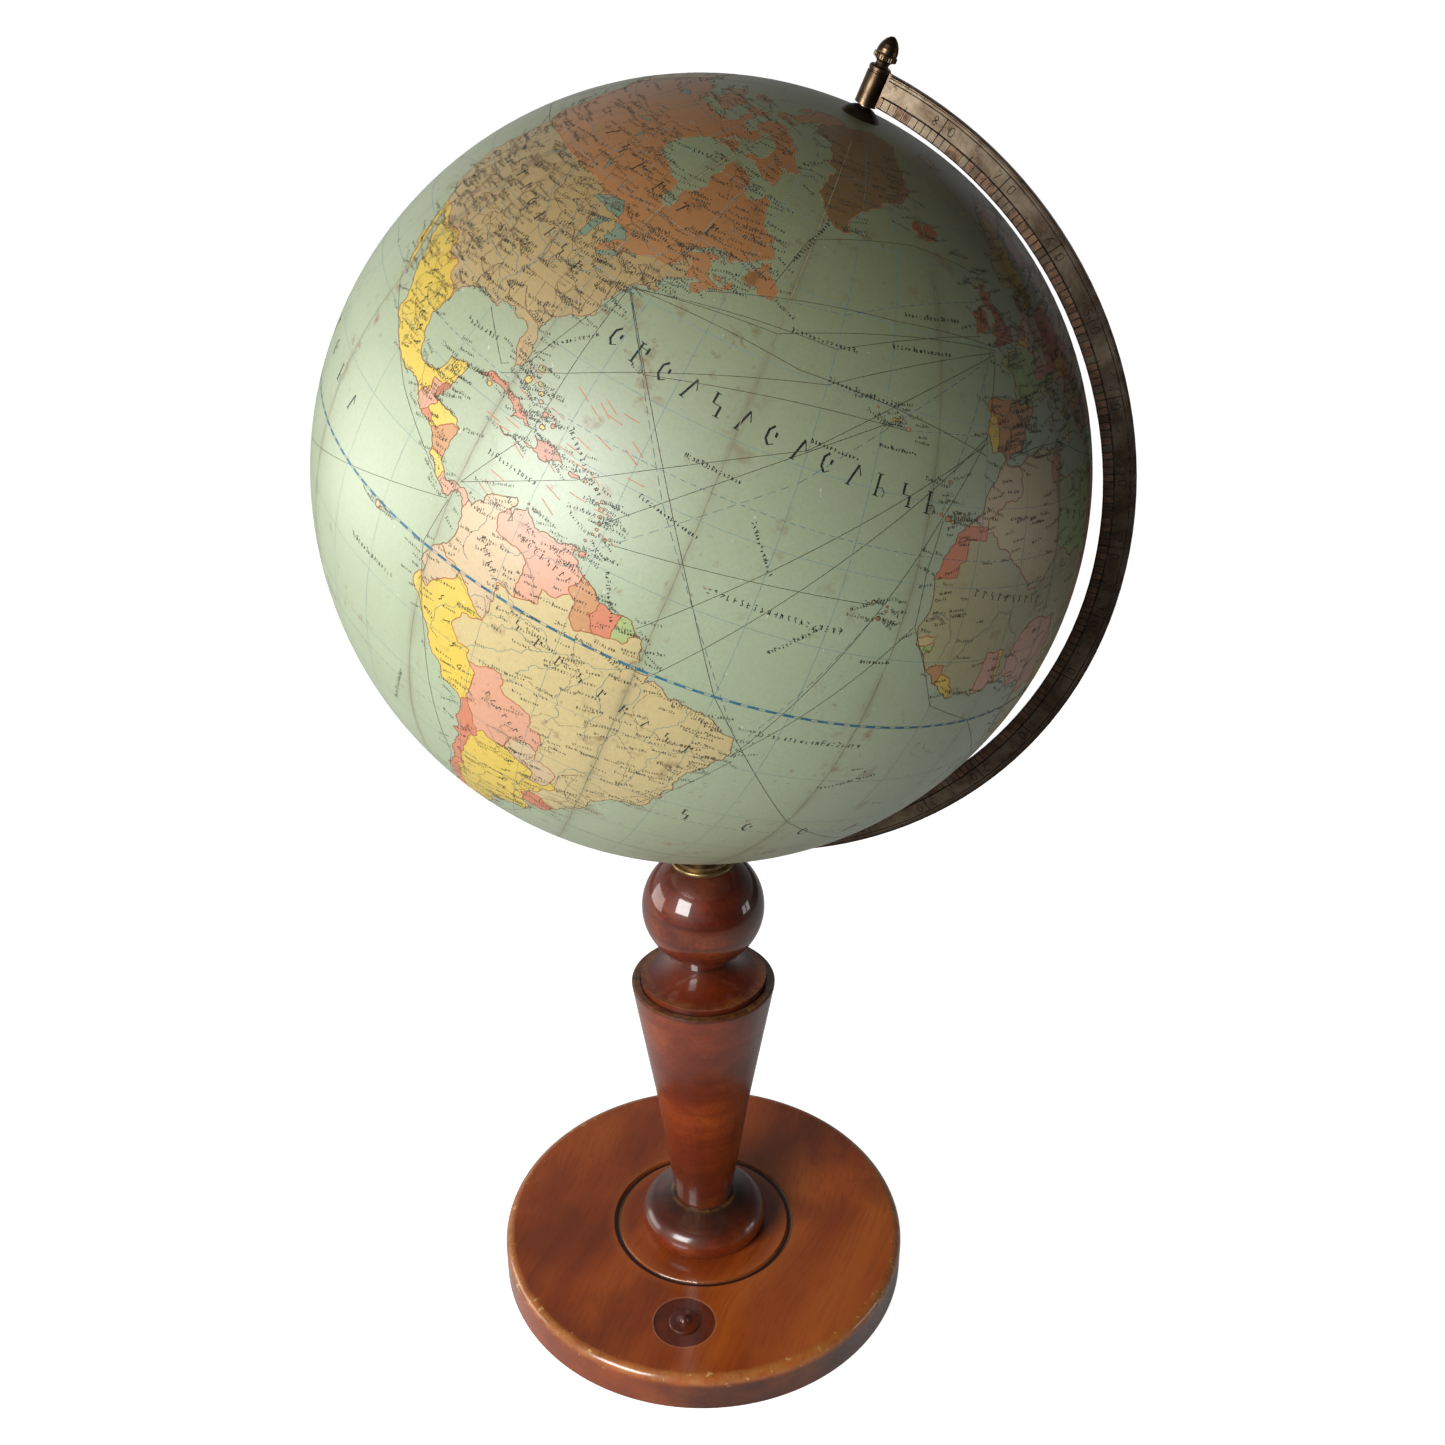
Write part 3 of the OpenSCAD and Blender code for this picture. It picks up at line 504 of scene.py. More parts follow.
-61,-70 -61,-74.5 -45,-78 -30,-76.5 -20,-73 -10,-71 10,-70 35,-69.3 45,-67.8 57,-66.5 70,-68.5 77,-69.5 90,-66.5
110,-66 130,-66 145,-67.5 165,-70.5 170,-72 164,-77.5 190,-78.4 190,-88 -170,-88
"""

# Lakes are closed loops of water.
LAKES = """
-92.1,46.8 -89,48.4 -86.5,48.7 -84.7,46.6 -87,46.5 -89,46.9 ;-87.6,45.2 -85,45.8 -86.3,44 -86.3,42.2 -87.6,41.7 -88,43.5
;-84.5,46 -81.5,45.8 -80,44.6 -81.7,44 -82.4,43.1 -83.9,43.7 -83.4,45.2 ;-83.2,41.8 -81,42.7 -79,42.9 -81.5,41.5
;-79.6,43.4 -77,44 -76.3,43.6 -79,43.3 ;-98,53.8 -96.5,51 -96.8,50.4 -98.3,51.8 ;-115,61.2 -109.5,62.8 -113.5,62.4
;-125,66.2 -120,65.2 -118,66.6 -122,67 ;-111,59 -106,59.6 -109,59.2 ;-103,58 -101.5,57.8 -102.3,56.4
;-70,-15.4 -68.7,-16.4 -69.4,-16.2 ;31.7,-0.3 34,0.2 33.8,-2 32,-2.5 ;29.3,-3.5 31,-8.6 29.6,-6.5 ;34,-10 35,-14 34.3,-12
;13.5,14 15,13.3 14.2,12.7 ;58.2,45.5 61.5,46.3 60,43.8 58.5,43.8 ;104,51.5 109.7,55.5 108,53.2 ;31,60 33,60.8 32,61.7
"""

# Small islands as longitude,latitude,radius.
ISLETS = """-77.5,26.6,.5 -78.2,24.7,.5 -76.3,25.1,.35 -75.5,24.2,.35 -75,23.4,.3 -73.5,22.4,.4 -73.1,21,.35 -71.9,21.8,.3
-64.8,18.3,.2 -63.1,18.1,.2 -61.8,17.1,.25 -62.2,16.7,.15 -61.5,16.2,.35 -61.3,15.4,.25 -61,14.6,.28 -61,13.9,.2
-61.2,13.2,.18 -61.7,12.1,.18 -59.6,13.2,.22 -68.9,12.2,.25 -70,12.5,.15 -64.7,32.3,.12 -25.6,37.8,.35 -28.2,38.5,.3
-27.2,38.7,.25 -31.2,39.5,.18 -17,32.7,.3 -17.9,28.7,.22 -16.6,28.3,.42 -15.6,28,.32 -14,28.4,.36 -13.7,29.1,.22
-23.7,15.1,.3 -25.1,17,.28 -22.9,16.1,.2 -24.4,14.9,.2 -22.9,16.7,.15 -5.7,-16,.15 -14.4,-8,.13 -32.4,-3.9,.1
-7,62.1,.25 -1.3,60.3,.3 -3,59,.25 -6.8,58,.35 1.5,39.6,.35 3,39.7,.45 8.7,3.5,.3 6.7,0.3,.2 -91,-0.5,.6 -90.3,-0.7,.3
-155.5,19.6,.6 -156.3,20.8,.35 -158,21.5,.35 -159.5,22,.25 -169,57,.3 57.5,-20.2,.35 55.5,-21.1,.35 39.3,-6.1,.3
53.8,12.5,.5 118,-8.6,1 122,-8.6,1.1 125.5,-9,1 127.8,1,.7 129,-3.1,.9 125,11,.8 123,10.3,.7 165.5,-21.3,1 178,-17.8,.6
160,-9.5,.7 152,-5,1.2 144,13.4,.3 -149.5,-17.6,.3 -172,-13.7,.3 115,-8.5,.5 -37,-54.4,.7 70,-49.3,.8 -152.5,57.4,.9
-165,60,.6 -79.5,62,.3 -73.7,45.5,.1 -82.8,21.6,.4"""

BORDERS = """
=-123,49 -95.2,49 ;-95.2,49 -94.6,48.7 -92,48.3 -89.6,48 ;-84.6,46.5 -83.5,46 ;-82.5,43 -83.1,42 ;-79,42.8 -79.2,43.5
;-76.3,44.2 -74.7,45 ;=-74.7,45 -71.5,45 ;-71.5,45 -70.3,46 -69.2,47.4 -68,47.3 -67.8,45.7 -67,44.9 ;=-141,69.6 -141,60.3
;-141,60.3 -137.5,58.9 -135,59.3 -132,57 -130,55.9 -130,55 ;-117.1,32.5 -114.7,32.7 -111,31.3 ;=-111,31.3 -108.2,31.3
-108.2,31.8 -106.5,31.8 ;-106.5,31.8 -104.5,29.6 -103,29 -102,29.8 -101,29.4 -99.5,27.5 -97.2,25.9
;-92.2,14.5 -91.7,16 -90.5,16.1 -91,17.3 -91,17.8 -89.2,17.8 -88.3,18.4 ;-89.2,17.8 -89.2,15.9 -88.6,15.8
;-90,13.8 -89.3,14.4 -88.2,13.9 -87.8,13.4 ;-89.3,14.4 -89.1,15 -88.3,15.7 ;-87.4,12.9 -86,13.9 -84.8,14.8 -83.2,15
;-85.7,11.1 -83.7,10.9 ;-82.9,8.2 -82.6,9.5 ;-77.9,7.3 -77.4,8.6 ;-71.3,11.8 -73,9.2 -72.4,7.4 -70,7 -67.5,6.2 -67.3,3.4
-67,1.2 ;-67,1.2 -64,2 -64.2,4.1 -60.7,5.2 -61.3,6 -60,8.4 ;-60.7,5.2 -59.8,4.5 -59.8,2.3 -58.8,1.2 -56.5,1.9
;-57.1,5.9 -58,4 -57.3,3.3 -56.5,1.9 ;-54,5.8 -54.5,3.5 -54.5,2.3 ;-56.5,1.9 -54.5,2.3 -52.7,2.3 -51.6,4.1
;-67,1.2 -69.8,1.7 -69.5,-0.8 -70,-4.2 -72.5,-2.4 -75.2,0 -77.5,0.5 -78.8,1.5 ;-75.2,0 -75.5,-1.5 -78.3,-3.5 -79,-5
-80.3,-4.4 -80.2,-3.4 ;-70,-4.2 -73,-5 -74,-7.3 -72.5,-9.5 -70.6,-9.5 -70.5,-11 -69,-12.5 -69.3,-15 -69.5,-17.5 -70.4,-18.3
;-70.5,-11 -68,-10.5 -65.4,-10 -65.2,-12 -62,-13.3 -60.3,-14 -60.2,-16.2 -58.4,-16.3 -57.6,-18 -58.1,-20.1 -59.2,-19.3
-61.8,-19.7 -62.6,-22.2 -64.3,-22.7 -66.3,-21.8 -67.2,-22.8 -68.5,-19.5 -69.5,-17.5
;-67.2,-22.8 -68.5,-25 -69.5,-28.5 -70.3,-31.5 -69.8,-34 -71,-37 -71.7,-40 -71.7,-43.5 -71.8,-46.5 -73,-49.5 -72.3,-51.5
-68.4,-52.3 ;-62.6,-22.2 -60,-24 -57.7,-25.2 -58.6,-27.3 -56,-27.3 -54.6,-25.6 -54.3,-24 -55.8,-22.3 -58,-22 -58.1,-20.1
;-54.6,-25.6 -53.7,-26.8 -57.6,-30.2 -58.3,-33.9 ;-57.6,-30.2 -55.6,-30.9 -53.2,-32.7 -53.5,-33.8
;-1.8,43.4 3.1,42.4 ;-8.9,41.9 -6.5,41.8 -7,39.6 -7.4,37.2 ;7.5,43.8 7,45.9 6,46.3 7.6,47.6 8.2,49 6.2,49.6 2.5,51.1
;6.2,49.6 6.1,50.8 6,51.2 7,52.3 7.1,53.4 ;3.4,51.4 6,51.2 ;7.6,47.6 9.6,47.5 13,47.6 12.8,48.8 12.2,50.3 15,51 14.4,54
;7,45.9 9,46 10.5,46.8 13.7,46.5 13.7,45.7 ;15,51 18.8,49.8 22.5,49.1 24,50.5 23.5,53.9 19.8,54.5
;12.8,48.8 16.9,48 16.5,46.8 13.7,46.5 ;16.9,48 18.8,47.8 22.5,49.1 22.9,48 20.3,46.1 19,45 21.4,44.8 22.6,44.2 28.5,43.8
;16.5,46.8 19,45 ;22.6,44.2 22.5,42.3 21,42 20.5,40.8 20,39.7 ;19.4,41.9 20.5,42.2 21,42 ;22.5,42.3 23,41.3 26.3,41.7 28,42
;23,41.3 21,40.9 ;26.3,41.7 26,40.7 ;22.9,48 26.6,48.2 30,46.4 ;24,50.5 28,48.4 26.6,48.2 ;23.5,53.9 26.5,55.7 27.5,57.5 28,59.5
;21.1,55.4 26.5,55.7 ;24.3,57.9 27.5,57.5 ;29,60.3 31.5,62.9 29.5,66 29,69 30.8,69.8 ;24.2,65.8 23.5,67.9 20.6,69.1
;11.2,58.9 12.3,61.5 14,64.5 16,67.5 20.6,69.1 25.5,69.5 29,69 ;8.7,54.9 9.9,54.8
;=-17,20.9 -13,21.3 -13,23 -12,23.4 -12,26 -8.7,26 -8.7,27.7 -13,27.7 ;-2.2,35.1 -1.2,32.3 -8.7,28.7 -8.7,27.7
;-8.7,27 -4.8,25 1.2,21.1 3.3,19 5.8,19.5 12,23.5 ;8.6,36.9 7.6,33.8 9.1,32.1 9.5,30.2 11.5,33.1 ;9.5,30.2 10,26.5
12,23.5 14.2,22.6 24,19.5 ;=24,19.5 24,20 25,20 25,31.7 ;=25,22 36.9,22 ;24,19.5 22.5,14 24,9.5 27.4,5
;-16.7,12.4 -13.7,12.6 -13.8,11.7 -15,10.9 ;-16.5,13.3 -13.8,13.5 ;-13.3,9 -10.8,9.6 -10.5,8.3 -11.5,6.9
;-10.5,8.3 -8.4,7.5 -7.5,4.4 ;-3,5.1 -2.7,7.5 -2.8,11 0,11.1 0.5,8 1.2,6.1 ;0,11.1 0.9,11 1.6,6.2
;2.7,6.4 2.8,9 3.6,11.7 5.5,13.8 13.5,13.7 14.2,12.5 13,10 11,7 8.6,4.8 ;14.2,12.5 15.5,10 14.5,6 16.2,2.2 9.8,2.2
;12.3,-5.9 13,-4.6 16,-4.4 18,1 18.6,4.8 24,4.9 27.4,5 30.8,3.5 31,2 29.6,0 29.2,-3 29.5,-6 30.8,-8.3 28.7,-9 28.5,-12
27,-11.8 24,-11 22,-11 21.8,-7.3 17,-7.2 16.5,-5.9 12.3,-5.9 ;24,-11 24,-13 22,-13 22,-16.2 21,-18 14,-17.4 11.8,-17.3
;=21,-18 21,-22 20,-22 20,-28.4 16.5,-28.6 ;20,-24.8 23,-25.3 26.8,-24.3 29.3,-22.2 ;21,-18 25.3,-17.8 27.5,-20.5
29.3,-22.2 31.3,-22.3 32,-26.5 33,-26.8 ;25.3,-17.8 30.4,-15.6 33,-14 32.9,-9.4 30.8,-8.3
;30.4,-15.6 33,-16.5 32.5,-21 31.3,-22.3 ;33,-14 34.5,-11.5 40.4,-10.6 ;29.6,-1.3 34,-1 39.2,-4.6
;34,-1 34.5,1.2 35,4.8 30.8,3.5 ;35,4.8 41.9,3.9 41.5,-1.7 ;35,4.8 33,7.8 34.2,10.6 36.3,14.3 38.5,18 ;36.3,14.3 42.3,12.5
;42.9,11 43,9.5 48,8 41.9,3.9 ;44.8,39.7 48.8,38.4 ;53.9,37.3 59,37.5 61.2,35.5 66.5,37.4 71,38.3 73.5,39.4 80.2,42.2
82.5,45.2 87.3,49.1 98,50.5 103,50.2 108,49.6 116.7,49.8 120,53.3 126,52.8 130.9,47.8 134.7,48.3 131.2,45 130.6,42.4
;87.3,49.1 91,45 96,42.7 105,41.7 111.5,43.7 119.8,46.6 116.7,49.8 ;61.6,25.2 63,27.2 61,29.8 66.3,29.9 69.5,31.9
71.5,35 74.8,37 78.8,34.5 79,31.2 81,30.2 88.1,27.9 92,27.8 97.3,28.2 ;80.2,28.8 84.6,27.3 88,26.4 88.1,27.9
;92.3,20.8 92.6,22 94.5,25 97.3,28.2 98.7,25.8 97.6,24 101.2,21.6 98,19.7 97.5,18.5 98.9,16.2 98.2,15 99.4,12.5 98.8,10.3
;101.2,21.6 105.3,23.3 108,21.5 ;101.2,21.6 100.6,19.5 104,18 105.6,15 102.5,13.6 102.9,11.8 ;100.1,6.5 102,6.2
;61,29.8 60.9,34 61.2,35.5 ;48.5,30 46,33 45.4,36 44.4,38.3 44.8,39.7 43.6,41 41.5,41.5 ;36,36 42.3,37.2 44.4,37.3
;42.3,37.2 41,34.4 38.8,33.4 39,32 42,31.1 46.5,29.1 48.4,28.5 ;35,29.5 37.5,31.5 39,32 ;35.9,33.5 35.5,31.5 34.9,29.6
;124.4,40 128,42 130.6,42.4 ;=129,-31.6 129,-15 ;=141,-38 141,-26 129,-26 ;=138,-26 138,-16.5 ;=141,-34 149,-37.4
;=141,-29 150,-29 153.4,-28.3 ;=141,-2.6 141,-9 ;=129,-26 138,-26 ;44.9,37.5 44.4,37.3
"""

# States and provinces, drawn thinner.
STATES = """
=-110,60 -110,49 ;=-102,60 -101.4,49 ;=-120,60 -120,54 -117,51 -114,49 ;=-137,60 -102,60 -94.8,60 ;=-95,52.8 -89,56.8
;=-79.5,51.5 -79.5,47 -76,45.5 -74.6,45.2 ;-64.5,60.3 -64,55 -67,52.5 -57.2,51.5 ;=-117,49 -117,42 ;=-124.2,42 -111,42
;=-120,42 -120,39 -114.6,35 ;=-114,42 -114,36 -114.6,34 -114.7,32.7 ;=-116,49 -116,48 -114.5,46.5 -111,44.5 ;=-111,45 -104,45
;=-111,45 -111,41 -109,41 -109,31.4 ;=-111,41 -102,41 -102,37 -94.6,37 ;=-109,37 -103,37 -103,32 ;=-104,49 -104,41
;=-104,45.9 -96.6,45.9 ;=-104,43 -98.5,43 -96.5,42.5 ;=-102,40 -95.3,40 ;=-103,36.5 -100,36.5 -100,34.5 -94.5,33.7
;=-94.6,37 -94.4,33.6 -94,33 -94,31 -93.8,29.9 ;-97.2,49 -96.6,45.9 -96.4,43.5 ;=-96.4,43.5 -91.2,43.5 ;-96.4,42.5 -95.3,40
-94.6,39.1 ;=-94.6,39.1 -94.6,36.5 -90,36.5 ;-92.8,46.7 -91.2,43.5 -90.2,41.8 -91.4,40.5 -90.2,38.8 -89.2,37 -90,35
-91.1,33 -91.5,31 ;=-91.5,31 -89.7,31 ;=-94,33 -91.1,33 ;=-90.6,42.5 -87.8,42.5 ;=-87.5,41.7 -87.5,39 ;-87.5,39 -88,37.8
-86,38 -84.8,39.1 -82.6,38.4 -80.6,40.6 ;=-84.8,39.1 -84.8,41.7 -83.4,41.7 ;=-80.5,40.6 -80.5,42.2 ;=-80.5,39.7 -75.8,39.7
;-82.6,38.4 -82,37.5 -83.7,36.6 ;=-89.4,36.5 -81.7,36.6 -75.9,36.5 ;=-90.2,35 -84.3,35 -83.1,35 ;=-88.2,35 -88.4,30.4
;=-85.6,35 -85,32.3 -85,31 ;=-87.5,31 -85,31 -82,30.5 ;-83.1,35 -81.5,33 -81,32.1 ;=-81,35.1 -79.7,34.8 -78.6,33.9
;=-79.8,42.3 -79.8,42 -75.4,42 ;-75.4,42 -74.8,40 ;=-73.4,45 -73.3,42.8 -73.5,41.2 ;=-71.5,45 -72.5,42.7
;=-73.3,42.7 -70.9,42.8 ;=-73.5,42 -71.5,42 ;-80.5,39.7 -78,39.2 -77,38.3 ;-104,32 -106.5,32 ;-112,28 -108.5,31.3
;-106.5,26.5 -103.5,26.8 -103,29 ;-105,23 -101,24.5 -99.5,27.4 ;-104,19.5 -101.5,21.5 -98.5,22 ;-100,17.5 -98,18.6 -96.5,18.5
;-60,-14 -54,-12 -50.5,-10 -46,-13.5 -46,-20 ;-50,-6 -46,-8 -41.5,-9 -38,-8 -35,-7.5 ;-58,2 -56.8,-6 -58,-9.5 -62,-8.8
;-46,-1.2 -48.5,-5.5 -46.5,-10 ;-51,-20 -45,-22.7 -42,-20.5 -40.5,-21.2 ;-54,-23 -50,-25 -48.6,-26
;10.3,52 12,51 11,49 ;3,50 5,46 1,45 ;-6,40 -2,40 0,42 ;12,44 14,42 ;30,50 38,52 45,50 ;60,60 70,55 90,58 110,60
"""

RIVERS = """
-93.2,45 -91.2,43.5 -90.2,41.8 -91.4,40.3 -90.2,38.8 -89.2,37 -90,35 -91.1,33 -91.5,31 -90.1,29.9 -89.3,29.1
;-111.5,46 -109,47.7 -104,48 -101,47.5 -100.5,45 -98,42.8 -96.2,41.5 -95,39.8 -92,38.7 -90.2,38.8
;-80,40.4 -82,38.6 -84.8,39.1 -86,38 -88,37.8 -89.2,37 ;-106,39 -101,38 -97.3,37.7 -95.3,35.6 -92.3,34.7 -91.1,33.8
;-103,35 -97,34 -94,33.6 -92,31.2 ;-107,38 -106.7,35 -106.5,31.8 ;-108,40 -110,38.3 -112.5,36.2 -114.7,35 -114.7,32
;-118,52 -118.5,49 -119.5,46.3 -122.7,45.7 -124,46.2 ;-111,44 -114,43 -117,44 -117,46.3 -119,46.3
;-121,61.3 -124,64.5 -128,66 -134,67.5 -135,69 ;-115,56 -112,58.6 -114,61 ;-118,53 -113.5,53.5 -105,53 -99,53.5
;-94,56 -97,54.5 ;-76,44.3 -73.5,45.6 -71,46.9 ;-79,47.5 -77,46 -75,45.5 -73.9,45.4 ;-67,54 -62,53.3 -60.3,53.5
;-135,61 -139,64 -145,66.3 -151,65.2 -158,64.5 -160,62.5 -164,62.7
;-77,-10 -76,-6 -74,-4.5 -70,-4.2 -66,-2.6 -63,-3.5 -60,-3.1 -56,-2.2 -53,-1.6 -51.5,-0.8 -50.3,0
;-72,-10.5 -68.5,-7.5 -65,-5.5 -61.5,-3.7 ;-66,-11 -63.5,-8.5 -60,-5.5 -58.7,-3.3 ;-76.5,0 -72,-1.5 -67,-2.2
;-71,2 -67,0.5 -63,-1 -60.2,-3 ;-58,-14 -57.7,-9 -55,-3.5 ;-52.5,-14 -52,-8 -53,-4 -52.2,-1.7 ;-50,-16 -49,-10 -48.8,-5 -49.2,-2
;-46,-20 -44,-15 -43,-11 -39.5,-9 -37,-10.3 ;-45.5,-10 -43,-6 -42.5,-3
;-64.5,2.5 -66,5 -67.5,6.5 -65,8 -62.5,8.2 -61,8.8 ;-74.5,2 -74.8,6 -74,9.5 -74.8,11 ;-71,6.5 -67.5,7.5
;-48,-19 -51.5,-20.3 -54,-24 -55.5,-27.3 -58.7,-27.5 -60.5,-31 -59,-34 ;-57,-15 -57.7,-19 -58,-24 -58.7,-27.3
;-51,-28 -55.5,-27.7 -57.6,-30.5 -58.2,-33.5 ;-68,-35 -65,-38 -62.5,-40.8 ;-71,-40.5 -66,-39 -63,-41
;-10.8,9.5 -8,12.5 -4,14.5 -3,16.7 0,16.5 3,12.5 6,8.5 6.5,5 ;-12,10.5 -11.5,14 -14,16.5 -16.4,16
;32,30 31,27 33,25 31,20 33,17 32.5,14 31.5,9 31,3 33,0.5 ;32.5,14 35,11.5 37,11 ;26,-11 27,-5 25,0 21,2 17.5,-1 15.5,-4.3 12.5,-6
;24,-13 25,-17.5 29,-16.5 33.5,-17 36,-18.7 ;29,-27 24,-29 20,-28.5 16.6,-28.6
;8.5,47.5 8,49 6.5,51.8 4.5,51.9 ;8.5,48 13,48.6 17,48 19,47 19,45.2 22.5,44.4 28,44.2 29.5,45.2 ;14,50 11.5,52.5 9.5,53.7
;3,45 2,47.6 -2,47.3 ;4,48 1.5,49.2 0.3,49.5 ;-2,41.8 -5.5,41.5 -8.5,41.2 ;-3,40.3 -7,39.6 -9.2,38.8 ;-3,43 1,40.7
;33,56 44,56.3 49,55.7 49.5,53 46,48.5 48,46 ;32,55 30.5,50.5 33,48 32,46.6 ;36,53 39,51 41.5,48 39.5,47.2
;59,60 54,61 42,64 ;84,52 82,56 70,58.5 66,65 72,67 ;92,54 92,62 86,70 82,72 ;106,55 122,60.5 130,64 124,68 127,72.5
;100,34 104,37 109,40.5 110.5,35 118,37.7 ;97,32 100,26.5 106,29.5 114,30.5 121,31.8 ;80,31 78,29 82,26 88,24.5 90,22.5
;82,31 92,29.3 95,28 90,25 ;76,32 71,29 67.5,24.3 ;100,28 100,20 104.5,15.5 106,10 ;97,28 96,21 95,16
;39,40 40,35 44,32 47.8,30.3 ;148,-36 143,-35 139.5,-35.3 ;148,-27 144,-33.5 ;142,53 138,50.5 132,47.8 126,51 121,53
"""

# Sea routes, drawn as great circles between the points.
ROUTES = """
-73.8,40.3 -50,43.5 -5.5,49.6 ;-73.8,40.3 -45,40.5 -10,36.3 ;-73.5,40.2 -40,44.5 -9,51.2 ;-70.5,42.3 -40,49 -8,55.8
;-63.4,44.4 -30,50.5 -5.6,50 ;-82.2,23.4 -74,27.8 -40,40 -6,49.3 ;-90,28.6 -83,24.3 -79.5,26.5 -74,40
;-73.8,40.2 -55,20 -34.5,-6 ;-73.8,40.2 -40,0 -20,-20 16,-33.7 ;-73.9,40.1 -73.9,22 -74.2,19.2 -79.6,9.8
;-79.5,9.9 -66,17.8 -40,32 -6,49 ;-61,10.9 -40,28 -7,48.6 ;-48,0 -30,22 -10,38.6 ;-34.4,-8 -24,15.8 -17.8,28 -9.9,38.6 -6,48.7
;-34.4,-8 -18,14.5 ;-38,-13.2 -24.5,14.8 ;-17.8,14.6 -10,3.5 0,0 11,-10 16.5,-33 ;-17.8,14.6 -18.4,21.5 -17.4,28
;-43,-23.3 -34,-9 ;-57,-35.5 -47,-26 -38,-14 ;-57,-35.6 -20,-36 17,-34.6 ;-64.6,32 -73.8,40 ;-64.6,32.2 -25.8,37.6
;-25.9,37.6 -9.6,38.6 ;-61,14.5 -28,38.4 ;-59,13 -24.9,16.6 ;-52,4.9 -32,24 -9.6,38 ;-7,49.5 -17,32.9 -17.9,28.6
;-80.2,7 -81.5,0 -77.8,-12 -72.2,-33 ;-80.5,7 -95,14 -110,22 -118,33.5 -123.2,37.7 ;-80.5,7 -120,-8 -149,-17.2
;-123,37.6 -158,21.9 ;-69,-53 -62,-45 -56.5,-36 ;-72.3,-33.2 -76.2,-47 -76,-53 ;-5,60 -25,62 -51,57 -54,48.3
;18,-35 50,-33 80,-31 115,-33 ;18,-35 38,-26 41.5,-12 46,5 51.8,12.3 ;45,12.3 60,12 72.5,18.5 ;51.8,12.3 79.5,6.5 95.2,6
;95.2,6 103.8,1 110,12 114.2,22 122,31 ;114.2,22 130,30 140,35 160,42 180,46 ;180,46 189.9,46.6 ;-169.9,46.6 -150,46 -124.8,48.3
;79.5,6 100,-15 115,-32 ;32.6,29.5 38,20 43,12.8 ;-5.8,35.9 2,37.4 11,37.6 20,35 31,32 ;115,-35.3 135,-36.5 147,-39.5
;151.5,-34 165,-35 173,-36 ;151.5,-33.5 153.8,-28 146,-16 142,-10.3 ;-149.5,-17.8 -169.9,-27 ;189.9,-27 175,-36.3
"""

# Land tints as red, green, blue out of 255, and where each one is poured, as longitude,latitude,letter.
TINTS = {"t": (206, 177, 120), "o": (213, 146, 86), "y": (238, 204, 66), "p": (232, 166, 132), "s": (226, 128, 88),
         "b": (222, 192, 148), "g": (176, 196, 118), "n": (164, 128, 82), "l": (219, 197, 136), "r": (196, 112, 68),
         "a": (190, 182, 128)}
SEA = (178, 193, 158)
LAKE = (142, 172, 150)
POURED = """-98,39,t -152,65,t -100,57,o -66,54,o -72,67,o -110,71,o -121,73,o -78,79,o -85,75.3,o -92.5,80,o -110,75.5,o
-93,73,o -99.5,72.6,o -83.5,65,o -56,48.7,o -60.7,46.2,o -63,46.4,o -63,49.4,o -126,49.6,o -132,53,o -102,24,y -90.3,15,p
-86.5,15,y -88.9,13.6,s -85,12.8,o -84,10,y -80.5,8.3,p -88.6,17,r -79,21.8,s -71,19,r -77.3,18.1,s -66.4,18.2,s -74,4,b
-66,7.5,p -59,5,o -56,4,s -53,3.4,g -52,-8,l -78.5,-1.5,b -76,-9,y -65,-17,p -70.3,-24,s -73,-42,s -66,-34,y -58.5,-23.5,b
-56,-33,s -59,-51.8,o -69,-54,y -42,72,n -18.5,65,r -1.5,52.7,r -8,53,r 9,61,l 16,62,y 26,63,p 2,47,g -4,40,o -8.2,40,y
10,51,b 8,47,s 5.2,52.3,o 4.5,50.6,y 15.5,47.5,p 12,43,g 14,37.5,g 9,40,g 9,42.2,g 16,49.5,o 19.5,47,y 20,52,s 25,46,o
20.5,43.5,b 25,42.7,g 22,39,p 25,57,g 24,55.5,y 9.3,56,r 38,57,t 100,62,t -13,25,s -6,32,b 2,29,l 9.3,34,o 17,28,g 29,27,p
-4,17,a -15,12,g -12,8.5,o -9.5,6.5,y -6,8,l -1.2,7,p 0.8,8,y 2,9,l 8,9,p 12,5,o 18,10,l 12,-1,l 23,-3,y 17,-12,g 17,-23,p
24,-30,o 24,-22,r 28,-15,p 35,-17,g 36,-12,g 46,-19,l 39,8,y 45,10,s 43,4,g 38,1,p 32,1,r 34,-6,o 30,13,r 48,25,b 40,30,p
44,32,y 38,34.5,l 33,39,o 54,33,g 65,33,s 78,22,p 96,20,p 84,28,y 105,33,y 104,47,b 101,16,l 106,18,t 102.5,4,p 125,45,o
127,36.5,s 137,36,s 131,32.5,s 133.5,33.7,s 143,43.5,s 143,50.5,t 121,24,s 120,-25,o 134,-20,r 145,-23,p 143,-31,y
144,-37,o 134,-30,l 146.6,-42,o 176,-38.5,o 170,-44,o 138,-4,g 144,-6,o 114,1,g 102,-1,g 109,-7.3,g 121,-3,g 121,16,b
124.5,7.5,b 80.7,7.5,p -60,-80,b 0,-75,b 20,79,l 56,72,t 48,-18,l"""


def read_lines(text):
    """[(straight, [(longitude, latitude), ...]), ...]. A leading = keeps a line straight."""
    found = []
    for part in text.split(";"):
        words = part.replace("=", " = ").split()
        if words:
            found.append((words[0] == "=", [tuple(float(v) for v in w.split(",")) for w in words if w != "="]))
    return found


